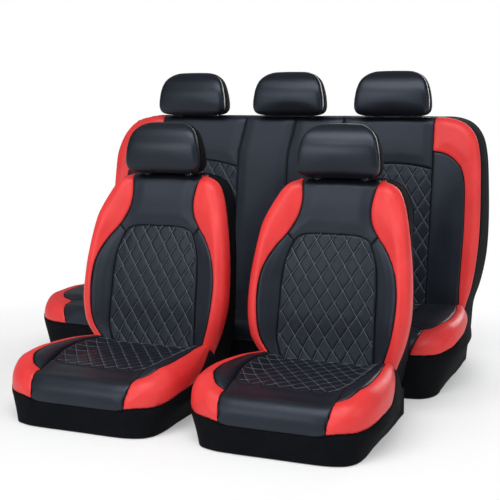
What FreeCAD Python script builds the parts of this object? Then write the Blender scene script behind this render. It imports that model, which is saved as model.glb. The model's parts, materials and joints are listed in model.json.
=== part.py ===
import FreeCAD, Part
import os
import re
import Sketcher
from collections import namedtuple

# Seat cover set for a five-seat car: two front bucket seats, and a rear bench whose back is
# split 60/40. The set is fitted, so every cover sits on the foam and steel that fills it.
# +Z is up and the seats face -Y. The origin is on the floor, under the middle of the set.
# Each seat is drawn about its own bite line, the crease where cushion and back meet.

doc = FreeCAD.newDocument("seat_cover_set")

# ---------------------------------------------------------------- driving dimensions, mm
SIZES = {
    # layout of the three seats
    "driver_x": 420.5, "passenger_x": -169.6, "front_y": -223.5, "rear_y": 521.5,
    # sewn material and the gap that cushion and back keep
    "cover_t": 3, "seat_gap": 8,
    # front back: bite height, lean in degrees, top edge, half width, pivot and lower end
    "front_bite": 158, "front_lean": 10.7, "front_top": 697, "front_half": 250,
    "front_pivot_z": 128, "front_barrel": 79, "front_shell_end": 78, "front_depth": 95,
    "front_foam_low": 152, "front_arm_x": 176, "front_arm_fore": 38, "front_arm_tall": 540,
    "front_tube_out": 16, "front_tube_top": 515,
    # front cushion and skirt
    "pan_z": 80, "front_cushion_half": 262, "front_cushion_len": 470, "front_cushion_top": 172,
    "front_skirt_half": 232, "skirt_tail": 60, "front_pan_half": 198, "front_pan_fore": 440,
    "front_pan_aft": -15, "front_rail_aft": 110,
    # rear bench back
    "rear_bite": 209, "rear_lean": 7.3, "rear_top": 874, "rear_half": 734, "rear_depth": 180,
    "rear_pivot_y": 20, "rear_pivot_z": 215, "rear_shell_end": 90, "rear_flap_y": 60,
    "rear_split": 204, "split_gap": 1, "rear_foam_low": 245,
    "rear_arm_x": 649, "wide_arm_x": 174, "narrow_arm_x": 230, "rear_arm_fore": 12,
    "rear_arm_aft": 60, "rear_arm_tall": 600, "rear_tube_out": 36, "rear_tube_top": 560,
    # rear cushion and skirt
    "rear_cushion_half": 760, "rear_cushion_len": 531, "rear_cushion_top": 226,
    "rear_skirt_half": 690, "rear_pan_half": 668, "rear_pan_fore": 470, "rear_pan_aft": 45,
    "rear_rail_aft": 50,
    # headrests and their posts
    "head_half": 128, "head_tall": 163, "head_deep": 112, "front_head_y": 60,
    "rear_head_y": 32, "head_gap": 4, "rear_head_x": 400, "post_half": 75,
    "post_r": 6, "post_fit": 0.1, "post_drop": 150, "post_rise": 72,
    "front_post_y": -55, "front_guide_z": 567, "rear_post_y": 0, "rear_guide_z": 664,
    "guide_r": 10, "guide_long": 70, "collar_r": 15, "collar_t": 3,
    # steel: plates, tubes, pivots, rails and feet
    "plate_t": 5, "tube_r": 11, "tube_low": 70, "pin_r": 6, "pin_fit": 0.1, "pin_long": 24,
    "pin_in": 6, "lug_r": 15, "arm_gap": 1, "front_bracket": 18, "rear_bracket": 12,
    "rail_x": 172, "rail_w": 26, "rail_top": 30, "foot_t": 4, "foot_long": 60,
    "foot_wide": 40, "foot_out": 24, "bolt_out": 15, "riser_deep": 20, "riser_in": 3,
    "bolt_r": 5.5, "bolt_y_front": 400, "bolt_y_rear": 40, "rear_rail_x": 619,
    "pan_t": 3,
    # webbing, hooks, pocket and zips
    "strap_w": 25, "strap_t": 2, "strap_z": 46, "hook_ring": 9, "hook_wire": 2,
    "pocket_half": 150, "pocket_low": 255, "pocket_high": 455, "pocket_t": 4,
    "zip_w": 5, "zip_t": 1.2, "pull_long": 22,
}
sheet = doc.addObject("Spreadsheet::Sheet", "Sizes")
for row, (alias, value) in enumerate(SIZES.items(), 1):
    sheet.set(f"A{row}", alias)
    sheet.set(f"B{row}", str(value))
    sheet.setAlias(f"B{row}", alias)
doc.recompute()

Seat = namedtuple("Seat", "name x y")
Axis = namedtuple("Axis", "y z lean")
NODES = {}
FRONT_SLOPE = "tan(front_lean*1deg)"
REAR_SLOPE = "tan(rear_lean*1deg)"
# The barrel round the front pivot touches the front face of the back just under the bite.
FRONT_PIVOT_Y = ("(front_barrel-(front_bite-front_pivot_z)*sin(front_lean*1deg))"
                 "/cos(front_lean*1deg)")
FRONT_AXIS = Axis(FRONT_PIVOT_Y, "front_pivot_z", "front_lean")
REAR_AXIS = Axis("rear_pivot_y", "rear_pivot_z", "rear_lean")


# ---------------------------------------------------------------- expressions and placing
def bound(text):
    """The same expression with every sheet alias written out in full."""
    return re.sub(r"[a-z_]+", lambda m: "Sizes." + m[0] if m[0] in SIZES else m[0], str(text))


def number(text):
    value = sheet.evalExpression(bound(text))
    return float(getattr(value, "Value", value))


def bind(obj, prop, text):
    obj.setExpression(prop, bound(text))


def place(obj, seat, x=0, y=0, z=0):
    bind(obj, "Placement.Base.x", f"{seat.x} + {x}")
    bind(obj, "Placement.Base.y", f"{seat.y} + {y}")
    bind(obj, "Placement.Base.z", f"0 + {z}")


def lean_point(axis, out, up):
    """Y and Z of a place measured in the leaning frame of a back, from its pivot."""
    turn = f"{axis.lean}*1deg"
    return (f"{axis.y} + ({out})*cos({turn}) + ({up})*sin({turn})",
            f"{axis.z} + ({up})*cos({turn}) - ({out})*sin({turn})")


def lean_place(obj, seat, axis, x, out, up):
    """Stand an object upright in the leaning frame of a back."""
    obj.Placement.Rotation = FreeCAD.Rotation(FreeCAD.Vector(-1, 0, 0), number(axis.lean))
    bind(obj, "Placement.Rotation.Angle", f"{axis.lean}*1deg")
    place(obj, seat, x, *lean_point(axis, out, up))


def node(obj, label):
    obj.Label = label
    NODES[label] = obj
    return obj


# ---------------------------------------------------------------- drawing helpers
PLANES = {"XY": FreeCAD.Rotation(),
          "XZ": FreeCAD.Rotation(FreeCAD.Vector(1, 0, 0), 90),
          "YZ": FreeCAD.Rotation(FreeCAD.Vector(1, 1, 1), 120)}


def add_polygon(sketch, points):
    """Closed outline in a sketch; each corner is tied to the origin by two bound sizes."""
    spots = [FreeCAD.Vector(number(u), number(v), 0) for u, v in points]
    start = sketch.GeometryCount
    for here, there in zip(spots, spots[1:] + spots[:1]):
        sketch.addGeometry(Part.LineSegment(here, there), False)
    count = len(points)
    for k, (u, v) in enumerate(points):
        sketch.addConstraint(Sketcher.Constraint("Coincident", start + k, 2,
                                                 start + (k + 1) % count, 1))
        for kind, text, size in (("DistanceX", u, spots[k].x), ("DistanceY", v, spots[k].y)):
            index = sketch.addConstraint(Sketcher.Constraint(kind, -1, 1, start + k, 1, size))
            bind(sketch, f"Constraints[{index}]", text)


def outline(name, seat, plane, points, x=0, y=0, z=0):
    sketch = doc.addObject("Sketcher::SketchObject", name)
    sketch.Placement.Rotation = PLANES[plane]
    place(sketch, seat, x, y, z)
    add_polygon(sketch, points)
    return sketch


def prism(name, sketch, direction, length, centred=False):
    """Straight extrusion of an outline; centred runs it both ways from its plane."""
    body = doc.addObject("Part::Extrusion", name)
    body.Base = sketch
    body.DirMode = "Custom"
    body.Dir = FreeCAD.Vector(*direction)
    body.Solid = True
    body.Symmetric = centred
    bind(body, "LengthFwd", length)
    return body


def box(name, seat, low, size):
    body = doc.addObject("Part::Box", name)
    for prop, text in zip(("Length", "Width", "Height"), size):
        bind(body, prop, text)
    place(body, seat, *low)
    return body


def rod(name, seat, start, radius, length, along="z"):
    body = doc.addObject("Part::Cylinder", name)
    bind(body, "Radius", radius)
    bind(body, "Height", length)
    if along == "x":
        body.Placement.Rotation = FreeCAD.Rotation(FreeCAD.Vector(0, 1, 0), 90)
    place(body, seat, *start)
    return body


def lean_rod(name, seat, axis, start, radius, length):
    body = rod(name, seat, (0, 0, 0), radius, length)
    lean_place(body, seat, axis, *start)
    return body


def join(name, parts):
    body = doc.addObject("Part::MultiFuse", name)
    body.Shapes = parts
    return body


def group(name, parts):
    body = doc.addObject("Part::Compound", name)
    body.Links = parts
    return body


def common(name, base, tool):
    body = doc.addObject("Part::Common", name)
    body.Base = base
    body.Tool = tool
    return body


def cut(name, base, tool):
    body = doc.addObject("Part::Cut", name)
    body.Base = base
    body.Tool = tool
    return body


def mirrored(half):
    """Both sides of an outline given as (half width, height) from the bottom up."""
    return half + [(f"-({u})", v) for u, v in reversed(half)]


# ---------------------------------------------------------------- headrests
HEAD_FRONT = [(0.90, 0.0), (1.0, 0.12), (0.97, 0.45), (0.87, 0.80), (0.76, 0.93), (0.58, 1.0)]
HEAD_SIDE = [(0.10, 0.0), (0.0, 0.14), (0.02, 0.55), (0.22, 0.88), (0.42, 1.0), (0.72, 0.99),
             (0.88, 0.86), (1.0, 0.16), (0.90, 0.0)]


def head_form(name, seat, x, face_y, base_z, inset):
    """A headrest's padded block: its front view crossed with its side view."""
    front = mirrored([(f"head_half*{u}-{inset}", f"{base_z}+{inset}+(head_tall-2*{inset})*{v}")
                      for u, v in HEAD_FRONT])
    side = [(f"{face_y}+{inset}+(head_deep-2*{inset})*{u}",
             f"{base_z}+{inset}+(head_tall-2*{inset})*{v}") for u, v in HEAD_SIDE]
    wide = prism(name + "_front", outline(name + "_front_line", seat, "XZ", front, x),
                 (0, 1, 0), "4*head_deep", True)
    deep = prism(name + "_side", outline(name + "_side_line", seat, "YZ", side, x),
                 (1, 0, 0), "head_half*2", True)
    return common(name, wide, deep)


def head_posts(name, seat, axis, x, post_y, top_z, drop, rise, radius):
    """Two parallel rods at a headrest's place, in the leaning frame of the back."""
    return [lean_rod(f"{name}_{side}", seat, axis,
                     (f"{x} {sign} post_half", post_y, f"{top_z} - ({drop})"),
                     radius, f"{drop} + {rise}")
            for side, sign in (("left", "-"), ("right", "+"))]


def headrest(name, seat, axis, x, face_y, back_top, post_y, top_z):
    """Cover, foam and bent post of one headrest."""
    base_z = f"{back_top}+head_gap"
    outer = head_form(name + "_outer", seat, x, face_y, base_z, "0")
    inner = head_form(name + "_inner", seat, x, face_y, base_z, "cover_t")
    legs = head_posts(name + "_leg", seat, axis, x, post_y, top_z, "post_drop", "post_rise",
                      "post_r")
    bend = lean_point(axis, post_y, f"{top_z}+post_rise")
    bar = rod(name + "_bar", seat, (f"{x} - post_half", *bend), "post_r", "2*post_half", "x")
    corners = []
    for side, sign in (("left", "-"), ("right", "+")):
        ball = doc.addObject("Part::Sphere", f"{name}_corner_{side}")
        bind(ball, "Radius", "post_r")
        place(ball, seat, f"{x} {sign} post_half", *bend)
        corners.append(ball)
    posts = node(join(name + "_posts_body", legs + [bar] + corners), name + "_posts")
    shell = cut(name + "_shell", outer, inner)
    node(cut(name + "_cover_body", shell, posts), name + "_cover")
    node(cut(name + "_foam_body", inner, posts), name + "_foam")


def guide_sleeves(name, seat, axis, x, post_y, top_z):
    """Two plastic sleeves with a collar, which the posts slide in."""
    sleeves = []
    for side, sign in (("left", "-"), ("right", "+")):
        spot = f"{x} {sign} post_half"
        tube = lean_rod(f"{name}_{side}_tube", seat, axis,
                        (spot, post_y, f"{top_z}-guide_long"), "guide_r", "guide_long")
        collar = lean_rod(f"{name}_{side}_collar", seat, axis,
                          (spot, post_y, f"{top_z}-collar_t"), "collar_r", "collar_t")
        bore = lean_rod(f"{name}_{side}_bore", seat, axis,
                        (spot, post_y, f"{top_z}-guide_long-1"), "post_r+post_fit",
                        "guide_long+2")
        sleeves.append(cut(f"{name}_{side}", join(f"{name}_{side}_solid", [tube, collar]), bore))
    return sleeves


def post_channels(name, seat, axis, x, post_y, top_z):
    """Room in the foam for the sleeves and for the posts below them."""
    deep = head_posts(name + "_deep", seat, axis, x, post_y, top_z, "post_drop+12", "20",
                      "post_r+3")
    wide = head_posts(name + "_wide", seat, axis, x, post_y, top_z, "guide_long", "20",
                      "guide_r")
    collars = head_posts(name + "_rim", seat, axis, x, post_y, top_z, "collar_t", "20",
                         "collar_r")
    return deep + wide + collars


# ---------------------------------------------------------------- steel
def pierced_plate(name, corners, eye_radius):
    """Flat steel plate, padded from its outline, with a pivot eye at its own origin."""
    body = doc.addObject("PartDesign::Body", name)
    plane = [f for f in body.Origin.OriginFeatures if f.Role == "YZ_Plane"][0]
    sketches = []
    for part in ("line", "eye"):
        sketch = body.newObject("Sketcher::SketchObject", f"{name}_{part}")
        sketch.AttachmentSupport = [(plane, "")]
        sketch.MapMode = "FlatFace"
        sketches.append(sketch)
    line, eye = sketches
    add_polygon(line, corners)
    pad = body.newObject("PartDesign::Pad", name + "_pad")
    pad.Profile = line
    bind(pad, "Length", "plate_t")
    radius = number(eye_radius)
    eye.addGeometry(Part.Circle(FreeCAD.Vector(), FreeCAD.Vector(0, 0, 1), radius), False)
    eye.addConstraint(Sketcher.Constraint("Coincident", 0, 3, -1, 1))
    size = eye.addConstraint(Sketcher.Constraint("Radius", 0, radius))
    bind(eye, f"Constraints[{size}]", eye_radius)
    hole = body.newObject("PartDesign::Pocket", name + "_hole")
    hole.Profile = eye
    hole.Type = "ThroughAll"
    hole.Midplane = True
    return body


def back_arm(name, seat, axis, x, front, behind, tall):
    """Pressed side member of a back, which turns on its pivot pin."""
    corners = [(front, "-lug_r"), (behind, "-lug_r"), (behind, tall), (front, tall)]
    body = pierced_plate(name, corners, "pin_r+pin_fit")
    lean_place(body, seat, axis, x, 0, 0)
    return body


def pivot_bracket(name, seat, axis, x, foot_z, depth):
    """Upright plate on the base, with a shaped top and the hole that grips the pivot pin."""
    foot = f"{foot_z}-({axis.z})"
    corners = [(f"-{depth}", foot), (depth, foot), (depth, "0"),
               (f"{depth}*0.7", "lug_r*0.7"), ("0", "lug_r"),
               (f"-{depth}*0.7", "lug_r*0.7"), (f"-{depth}", "0")]
    body = pierced_plate(name, corners, "pin_r")
    place(body, seat, x, axis.y, axis.z)
    return body


def cross_tube(name, seat, axis, x, out, up, length):
    return rod(name, seat, (x, *lean_point(axis, out, up)), "tube_r", length, "x")


def base_frame(name, seat, rail_x, pan_half, pan_front, pan_back, rail_back):
    """Steel base: two rails on bolted feet, risers and the pan that carries the foam."""
    pieces = [box(name + "_pan", seat, (f"-{pan_half}", f"-{pan_front}", "pan_z-pan_t"),
                  (f"2*{pan_half}", f"{pan_front}+{pan_back}", "pan_t"))]
    holes = []
    for side, x in (("left", f"-{rail_x}-rail_w"), ("right", rail_x)):
        pieces.append(box(f"{name}_rail_{side}", seat, (x, f"-{pan_front}", "foot_t"),
                          ("rail_w", f"{pan_front}+{rail_back}", "rail_top-foot_t")))
        for end, y in (("front", "-bolt_y_front"), ("rear", "-bolt_y_rear")):
            pieces.append(box(f"{name}_riser_{side}_{end}", seat,
                              (f"{x}+riser_in", f"{y}-foot_wide/2-riser_deep/2", "rail_top"),
                              ("rail_w-2*riser_in", "riser_deep", "pan_z-pan_t-rail_top")))
            foot_x = f"{x}-foot_out" if side == "left" else f"{x}-foot_long+foot_out+rail_w"
            pieces.append(box(f"{name}_foot_{side}_{end}", seat,
                              (foot_x, f"{y}-foot_wide/2", "0"),
                              ("foot_long", "foot_wide", "foot_t")))
            sign = "-" if side == "left" else ""
            holes.append(rod(f"{name}_bolt_{side}_{end}", seat,
                             (f"{sign}({rail_x}+rail_w+bolt_out)", y, "-1"), "bolt_r",
                             "foot_t+2"))
    solid = join(name + "_solid", pieces)
    return cut(name + "_body", solid, join(name + "_holes", holes))


# ---------------------------------------------------------------- cushions and skirts
def cushion_form(name, seat, plan, side, half):
    """A cushion: its plan crossed with its side view."""
    flat = prism(name + "_plan", outline(name + "_plan_line", seat, "XY", plan),
                 (0, 0, 1), "300")
    long = prism(name + "_side", outline(name + "_side_line", seat, "YZ", side),
                 (1, 0, 0), f"2*{half}+10", True)
    return common(name, flat, long)


CUSHION_PLAN = [(0.81, 0.0), (0.95, 0.22), (1.0, 0.50), (0.99, 0.80), (0.90, 0.94),
                (0.70, 0.99), (0.40, 1.0)]
CUSHION_SIDE = [(0.0, 0.85), (0.15, 0.95), (0.45, 1.0), (0.75, 0.97), (0.90, 0.82),
                (0.98, 0.50), (1.0, 0.12)]
BENCH_PLAN = [(0.93, 0.0), (0.975, 0.20), (1.0, 0.60), (0.995, 0.85), (0.96, 0.96),
              (0.90, 1.0)]


def cushion(name, seat, plan, half, length, top):
    """Foam and cover of a seat cushion; the cover is open below."""
    def form(label, inset, low):
        corners = mirrored([(f"{half}*{u}-{inset}",
                             f"-(seat_gap+{inset}+({length}-seat_gap-2*{inset})*{v})")
                            for u, v in plan])
        side = [(f"-(seat_gap+{inset}+({length}-seat_gap-2*{inset})*{u})",
                 f"pan_z+({top}-pan_z-{inset})*{v}") for u, v in CUSHION_SIDE]
        side += [(f"-({length}-{inset})", low), (f"-(seat_gap+{inset})", low)]
        return cushion_form(label, seat, corners, side, half)
    outer = form(name + "_outer", "0", "pan_z")
    hollow = form(name + "_hollow", "cover_t", "pan_z-10")
    node(form(name + "_foam_body", "cover_t", "pan_z"), name + "_foam")
    node(cut(name + "_cover_body", outer, hollow), name + "_cover")


def skirt(name, seat, plan, half, length):
    """Fabric skirt that hangs from the cushion cover to the floor, open behind."""
    def ring(label, inset, tail):
        corners = mirrored([(f"{half}*{u}-{inset}",
                             f"skirt_tail+{tail}-({length}+skirt_tail+{tail}-{inset})*{v}")
                            for u, v in plan])
        return outline(label, seat, "XY", corners)
    outer = prism(name + "_outer", ring(name + "_outer_line", "0", "0"), (0, 0, 1),
                  "pan_z-0.5")
    inner = prism(name + "_inner", ring(name + "_inner_line", "cover_t", "20"), (0, 0, 1),
                  "pan_z+10")
    node(cut(name + "_body", outer, inner), name)


SKIRT_PLAN = [(0.985, 0.0), (1.0, 0.50), (1.0, 0.88), (0.93, 0.96), (0.75, 0.99), (0.40, 1.0)]


def straps(name, seat, half, cross, runs, front, back):
    """Elastic straps under a seat: cross the cushion and from front to back."""
    webs = [box(f"{name}_cross_{k}", seat, (f"-{half}", y, "strap_z+3*strap_t"),
                (f"2*{half}", "strap_w", "strap_t")) for k, y in enumerate(cross)]
    webs += [box(f"{name}_run_{k}", seat, (f"{x}-strap_w/2", f"-{front}", "strap_z"),
                 ("strap_w", f"{front}+{back}", "strap_t")) for k, x in enumerate(runs)]
    node(group(name + "_body", webs), name)
    hooks = []
    for k, x in enumerate(runs):
        hook = doc.addObject("Part::Torus", f"{name}_hook_{k}")
        bind(hook, "Radius1", "hook_ring")
        bind(hook, "Radius2", "hook_wire")
        hook.Angle3 = 250
        hook.Placement.Rotation = FreeCAD.Rotation(FreeCAD.Vector(0, 0, 1), 55)
        place(hook, seat, x, f"{back}+hook_ring+hook_wire+0.5", "strap_z+strap_t/2")
        hooks.append(hook)
    return hooks


# ---------------------------------------------------------------- a front seat
FRONT_WAIST = [(0.82, 0.0), (0.98, 0.27), (1.0, 0.47), (0.96, 0.635), (0.80, 0.915),
               (0.70, 0.965), (0.54, 1.0)]


def front_back_form(name, seat, inset, low):
    """The front back: a tapering wedge and a barrel round the pivot, cut to its outline."""
    rise = f"(front_top-{inset}-front_bite)"
    half = [(f"front_half*0.80-{inset}", low)]
    half += [(f"front_half*{u}-{inset}", f"front_bite+{rise}*{v}") for u, v in FRONT_WAIST]
    face = prism(name + "_face", outline(name + "_face_line", seat, "XZ", mirrored(half)),
                 (0, 1, 0), "800", True)
    turn = "front_lean*1deg"
    reach = f"(front_barrel-{inset})"
    edge = f"({FRONT_SLOPE}*(front_top-front_bite))"
    side = [(f"{FRONT_PIVOT_Y}-{reach}*cos({turn})", f"front_pivot_z+{reach}*sin({turn})"),
            (f"{edge}+{inset}", f"front_top-{inset}"),
            (f"{edge}+front_depth*0.35", f"front_top-{inset}"),
            (f"{edge}+front_depth-{inset}", f"front_top-35"),
            (f"{FRONT_PIVOT_Y}+{reach}*cos({turn})", f"front_pivot_z-{reach}*sin({turn})")]
    wedge = prism(name + "_wedge", outline(name + "_side_line", seat, "YZ", side),
                  (1, 0, 0), "2*front_half+10", True)
    barrel = rod(name + "_barrel", seat, ("-(front_half+5)", FRONT_PIVOT_Y, "front_pivot_z"),
                 f"front_barrel-{inset}", "2*front_half+10", "x")
    return common(name, face, join(name + "_solid", [wedge, barrel]))


def front_seat(seat):
    tag = seat.name
    hooks = []
    # base: steel, foam, cover, skirt and straps
    node(base_frame(tag + "_base", seat, "rail_x", "front_pan_half", "front_pan_fore",
                    "(front_pan_aft)", "front_rail_aft"), tag + "_seat_frame")
    cushion(tag + "_cushion", seat, CUSHION_PLAN, "front_cushion_half", "front_cushion_len",
            "front_cushion_top")
    skirt(tag + "_skirt", seat, SKIRT_PLAN, "front_skirt_half", "front_cushion_len-2")
    hooks += straps(tag + "_straps", seat, "(front_skirt_half-6)", ("-330", "-170"), ("0",),
                    "(front_cushion_len-8)", "35")
    plates = [pivot_bracket(f"{tag}_bracket_{side}", seat, FRONT_AXIS, x, "rail_top",
                            "front_bracket")
              for side, x in (("left", "-(front_arm_x+2*plate_t+arm_gap)"),
                              ("right", "front_arm_x+plate_t+arm_gap"))]
    node(group(tag + "_brackets_body", plates), tag + "_recliner_brackets")
    pins = [rod(f"{tag}_pin_{side}", seat, (x, FRONT_PIVOT_Y, "front_pivot_z"), "pin_r",
                "pin_long", "x") for side, x in (("left", "-(front_arm_x-pin_in+pin_long)"),
                                                 ("right", "front_arm_x-pin_in"))]
    node(group(tag + "_pins_body", pins), tag + "_recliner_pins")

    # back: pressed arms, cross tubes, sleeves, foam and covers
    post_y = "(front_post_y)"
    top_z = "front_guide_z"
    arms = [back_arm(f"{tag}_arm_{side}", seat, FRONT_AXIS, x, "-front_arm_fore", "lug_r",
                     "front_arm_tall")
            for side, x in (("left", "-(front_arm_x+plate_t)"), ("right", "front_arm_x"))]
    tubes = [cross_tube(f"{tag}_tube_{end}", seat, FRONT_AXIS, "-(front_arm_x+plate_t/2)",
                        "-front_tube_out", up, "2*front_arm_x+plate_t")
             for end, up in (("top", "front_tube_top"), ("low", "tube_low"))]
    frame = node(join(tag + "_back_frame_body", arms + tubes), tag + "_back_frame")
    sleeves = guide_sleeves(tag + "_sleeve", seat, FRONT_AXIS, "0", post_y, top_z)
    node(group(tag + "_sleeves", sleeves), tag + "_headrest_guides")
    room = post_channels(tag + "_channel", seat, FRONT_AXIS, "0", post_y, top_z)
    outer = front_back_form(tag + "_back_outer", seat, "0", "front_shell_end")
    hollow = front_back_form(tag + "_back_hollow", seat, "cover_t", "front_shell_end-20")
    shell = cut(tag + "_back_shell", outer, join(tag + "_back_void", [hollow] + room))
    edge = f"({FRONT_SLOPE}*(front_top-front_bite))"
    turn = "front_lean*1deg"
    strip = [(f"{FRONT_PIVOT_Y}+front_barrel*cos({turn})-cover_t-0.3", "40"),
             (f"{FRONT_PIVOT_Y}+front_barrel*cos({turn})+60", "40"),
             (f"{edge}+front_depth+60", "front_top+20"),
             (f"{edge}+front_depth-cover_t", "front_top+20")]
    rear_wall = prism(tag + "_rear_wall", outline(tag + "_rear_wall_line", seat, "YZ", strip),
                      (1, 0, 0), "2*front_half+20", True)
    node(cut(tag + "_back_cover_body", shell, rear_wall), tag + "_back_cover")
    node(common(tag + "_back_panel_body", shell, rear_wall), tag + "_back_rear_panel")
    keep = box(tag + "_foam_block", seat, ("-front_half", "-100", "front_foam_low"),
               ("2*front_half", "400", "front_top"))
    block = common(tag + "_foam_form", hollow, keep)
    node(cut(tag + "_back_foam_body", block, join(tag + "_foam_room", [frame] + room)),
         tag + "_back_foam")

    # map pocket sewn on the rear panel, lying flat
    low_y = f"{FRONT_PIVOT_Y}+front_barrel*cos({turn})"
    low_z = f"front_pivot_z-front_barrel*sin({turn})"
    tilt = f"(({edge}+front_depth-({low_y}))/(front_top-35-({low_z})))"
    on_rear = [(f"{low_y}+{tilt}*({z}-({low_z}))+{out}", z)
               for z, out in (("pocket_low", "0.3"), ("pocket_high", "0.3"),
                              ("pocket_high", "pocket_t"), ("pocket_low", "pocket_t"))]
    node(prism(tag + "_pocket_body", outline(tag + "_pocket_line", seat, "YZ", on_rear),
               (1, 0, 0), "2*pocket_half", True), tag + "_map_pocket")

    headrest(tag + "_headrest", seat, FRONT_AXIS, "0", "front_head_y", "front_top", post_y,
             top_z)
    return hooks


# ---------------------------------------------------------------- the rear bench
BENCH_EDGE = [(0.935, 0.0, "rear_shell_end"), (0.95, 0.0, "rear_bite"),
              (0.977, 0.11, "rear_bite"), (0.997, 0.28, "rear_bite"), (1.0, 0.42, "rear_bite"),
              (0.99, 0.62, "rear_bite"), (0.972, 0.84, "rear_bite"), (0.948, 0.92, "rear_bite"),
              (0.90, 0.97, "rear_bite"), (0.83, 1.0, "rear_bite")]


def bench_back_form(name, seat, side, inset, low_shell, low_step):
    """One part of the bench back; side is +1 for the narrow part and -1 for the wide one."""
    rise = f"(rear_top-{inset}-rear_bite)"
    cut_x = f"rear_split+{side}*(split_gap/2+{inset})"
    edge = [(f"{side}*(rear_half*{u}-{inset})",
             f"{base}+{rise}*{v}" if base == "rear_bite" else low_shell)
            for u, v, base in BENCH_EDGE]
    line = [(cut_x, low_shell)] + edge + [(cut_x, f"rear_bite+{rise}")]
    face = prism(name + "_face", outline(name + "_face_line", seat, "XZ", line),
                 (0, 1, 0), "800", True)
    lean = f"({REAR_SLOPE}*(rear_top-rear_bite))"
    profile = [(f"{inset}+{REAR_SLOPE}*({low_step}-rear_bite)", low_step),
               (f"{lean}+{inset}", f"rear_top-{inset}"),
               (f"rear_depth-15-{inset}", f"rear_top-{inset}"),
               (f"rear_depth-{inset}", "rear_top-24"),
               (f"rear_depth-{inset}", low_shell),
               (f"rear_flap_y+{inset}", low_shell),
               (f"rear_flap_y+{inset}", low_step)]
    deep = prism(name + "_deep", outline(name + "_side_line", seat, "YZ", profile),
                 (1, 0, 0), "2*rear_half+20", True)
    return common(name, face, deep)


def bench_back(seat, tag, side, arm_spots, heads):
    """Frame, foam, covers and headrest sleeves of one part of the bench back."""
    post_y = "rear_post_y"
    top_z = "rear_guide_z"
    arms = [back_arm(f"{tag}_arm_{k}", seat, REAR_AXIS, x, "-rear_arm_fore", "rear_arm_aft",
                     "rear_arm_tall")
            for k, x in enumerate(arm_spots)]
    first, last = arm_spots
    tubes = [cross_tube(f"{tag}_tube_{end}", seat, REAR_AXIS, f"{first}+plate_t/2",
                        "rear_tube_out", up, f"{last}-({first})")
             for end, up in (("top", "rear_tube_top"), ("low", "tube_low"))]
    frame = node(join(tag + "_frame_body", arms + tubes), tag + "_frame")
    sleeves = []
    room = []
    for k, x in enumerate(heads):
        sleeves += guide_sleeves(f"{tag}_sleeve_{k}", seat, REAR_AXIS, x, post_y, top_z)
        room += post_channels(f"{tag}_channel_{k}", seat, REAR_AXIS, x, post_y, top_z)
    node(group(tag + "_sleeves", sleeves), tag + "_headrest_guides")
    outer = bench_back_form(tag + "_outer", seat, side, "0", "rear_shell_end", "rear_bite-4")
    hollow = bench_back_form(tag + "_hollow", seat, side, "cover_t", "rear_shell_end-20",
                             "rear_bite-30")
    shell = cut(tag + "_shell", outer, join(tag + "_void", [hollow] + room))
    rear_wall = box(tag + "_rear_wall", seat, ("-800", "rear_depth-cover_t", "0"),
                    ("1600", "50", "1000"))
    node(cut(tag + "_cover_body", shell, rear_wall), tag + "_cover")
    node(common(tag + "_panel_body", shell, rear_wall), tag + "_rear_panel")
    keep = box(tag + "_foam_block", seat, ("-800", "-100", "rear_foam_low"),
               ("1600", "400", "1000"))
    block = common(tag + "_foam_form", hollow, keep)
    node(cut(tag + "_foam_body", block, join(tag + "_foam_room", [frame] + room)),
         tag + "_foam")


def rear_bench(seat):
    node(base_frame("rear_base", seat, "rear_rail_x", "rear_pan_half", "rear_pan_fore",
                    "rear_pan_aft", "rear_rail_aft"), "rear_seat_frame")
    cushion("rear_cushion", seat, BENCH_PLAN, "rear_cushion_half", "rear_cushion_len",
            "rear_cushion_top")
    skirt("rear_skirt", seat, SKIRT_PLAN[:4] + [(0.85, 0.99)], "rear_skirt_half",
          "rear_cushion_len-2")
    hooks = straps("rear_straps", seat, "(rear_skirt_half-6)", ("-300",),
                   ("-330", "330"), "(rear_cushion_len-16)", "25")
    spots = ("-(rear_arm_x+2*plate_t+arm_gap)", "wide_arm_x+plate_t+arm_gap",
             "narrow_arm_x-plate_t-arm_gap", "rear_arm_x+plate_t+arm_gap")
    plates = [pivot_bracket(f"rear_bracket_{k}", seat, REAR_AXIS, x, "pan_z", "rear_bracket")
              for k, x in enumerate(spots)]
    node(group("rear_brackets_body", plates), "rear_hinge_brackets")
    ends = ("-(rear_arm_x-pin_in+pin_long)", "wide_arm_x-pin_in",
            "narrow_arm_x+plate_t+pin_in-pin_long", "rear_arm_x-pin_in")
    pins = [rod(f"rear_pin_{k}", seat, (x, "rear_pivot_y", "rear_pivot_z"), "pin_r",
                "pin_long", "x") for k, x in enumerate(ends)]
    node(group("rear_pins_body", pins), "rear_hinge_pins")
    bench_back(seat, "rear_back_wide", -1, ("-(rear_arm_x+plate_t)", "wide_arm_x"),
               ("-rear_head_x", "0"))
    bench_back(seat, "rear_back_narrow", 1, ("narrow_arm_x", "rear_arm_x"), ("rear_head_x",))

    # zips in the front of the back cover, each with its pull at the top
    strips = []
    for label, low, high, near, far in (
            ("zip", "rear_bite+10", "rear_top-6", "0.3", "zip_t"),
            ("pull", "rear_top-14-pull_long", "rear_top-14", "zip_t+0.2", "zip_t+2.2")):
        face = [(f"{REAR_SLOPE}*({z}-rear_bite)-({out})", z)
                for z, out in ((low, near), (high, near), (high, far), (low, far))]
        for k, x in enumerate(("-rear_split", "0", "rear_split-zip_w")):
            strips.append(prism(f"rear_{label}_{k}",
                                outline(f"rear_{label}_line_{k}", seat, "YZ", face, x),
                                (1, 0, 0), "zip_w"))
    node(group("rear_zips_body", strips), "rear_zips")

    for name, x in (("rear_left_headrest", "rear_head_x"), ("rear_centre_headrest", "0"),
                    ("rear_right_headrest", "-rear_head_x")):
        headrest(name, seat, REAR_AXIS, x, "rear_head_y", "rear_top", "rear_post_y",
                 "rear_guide_z")
    return hooks


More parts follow.
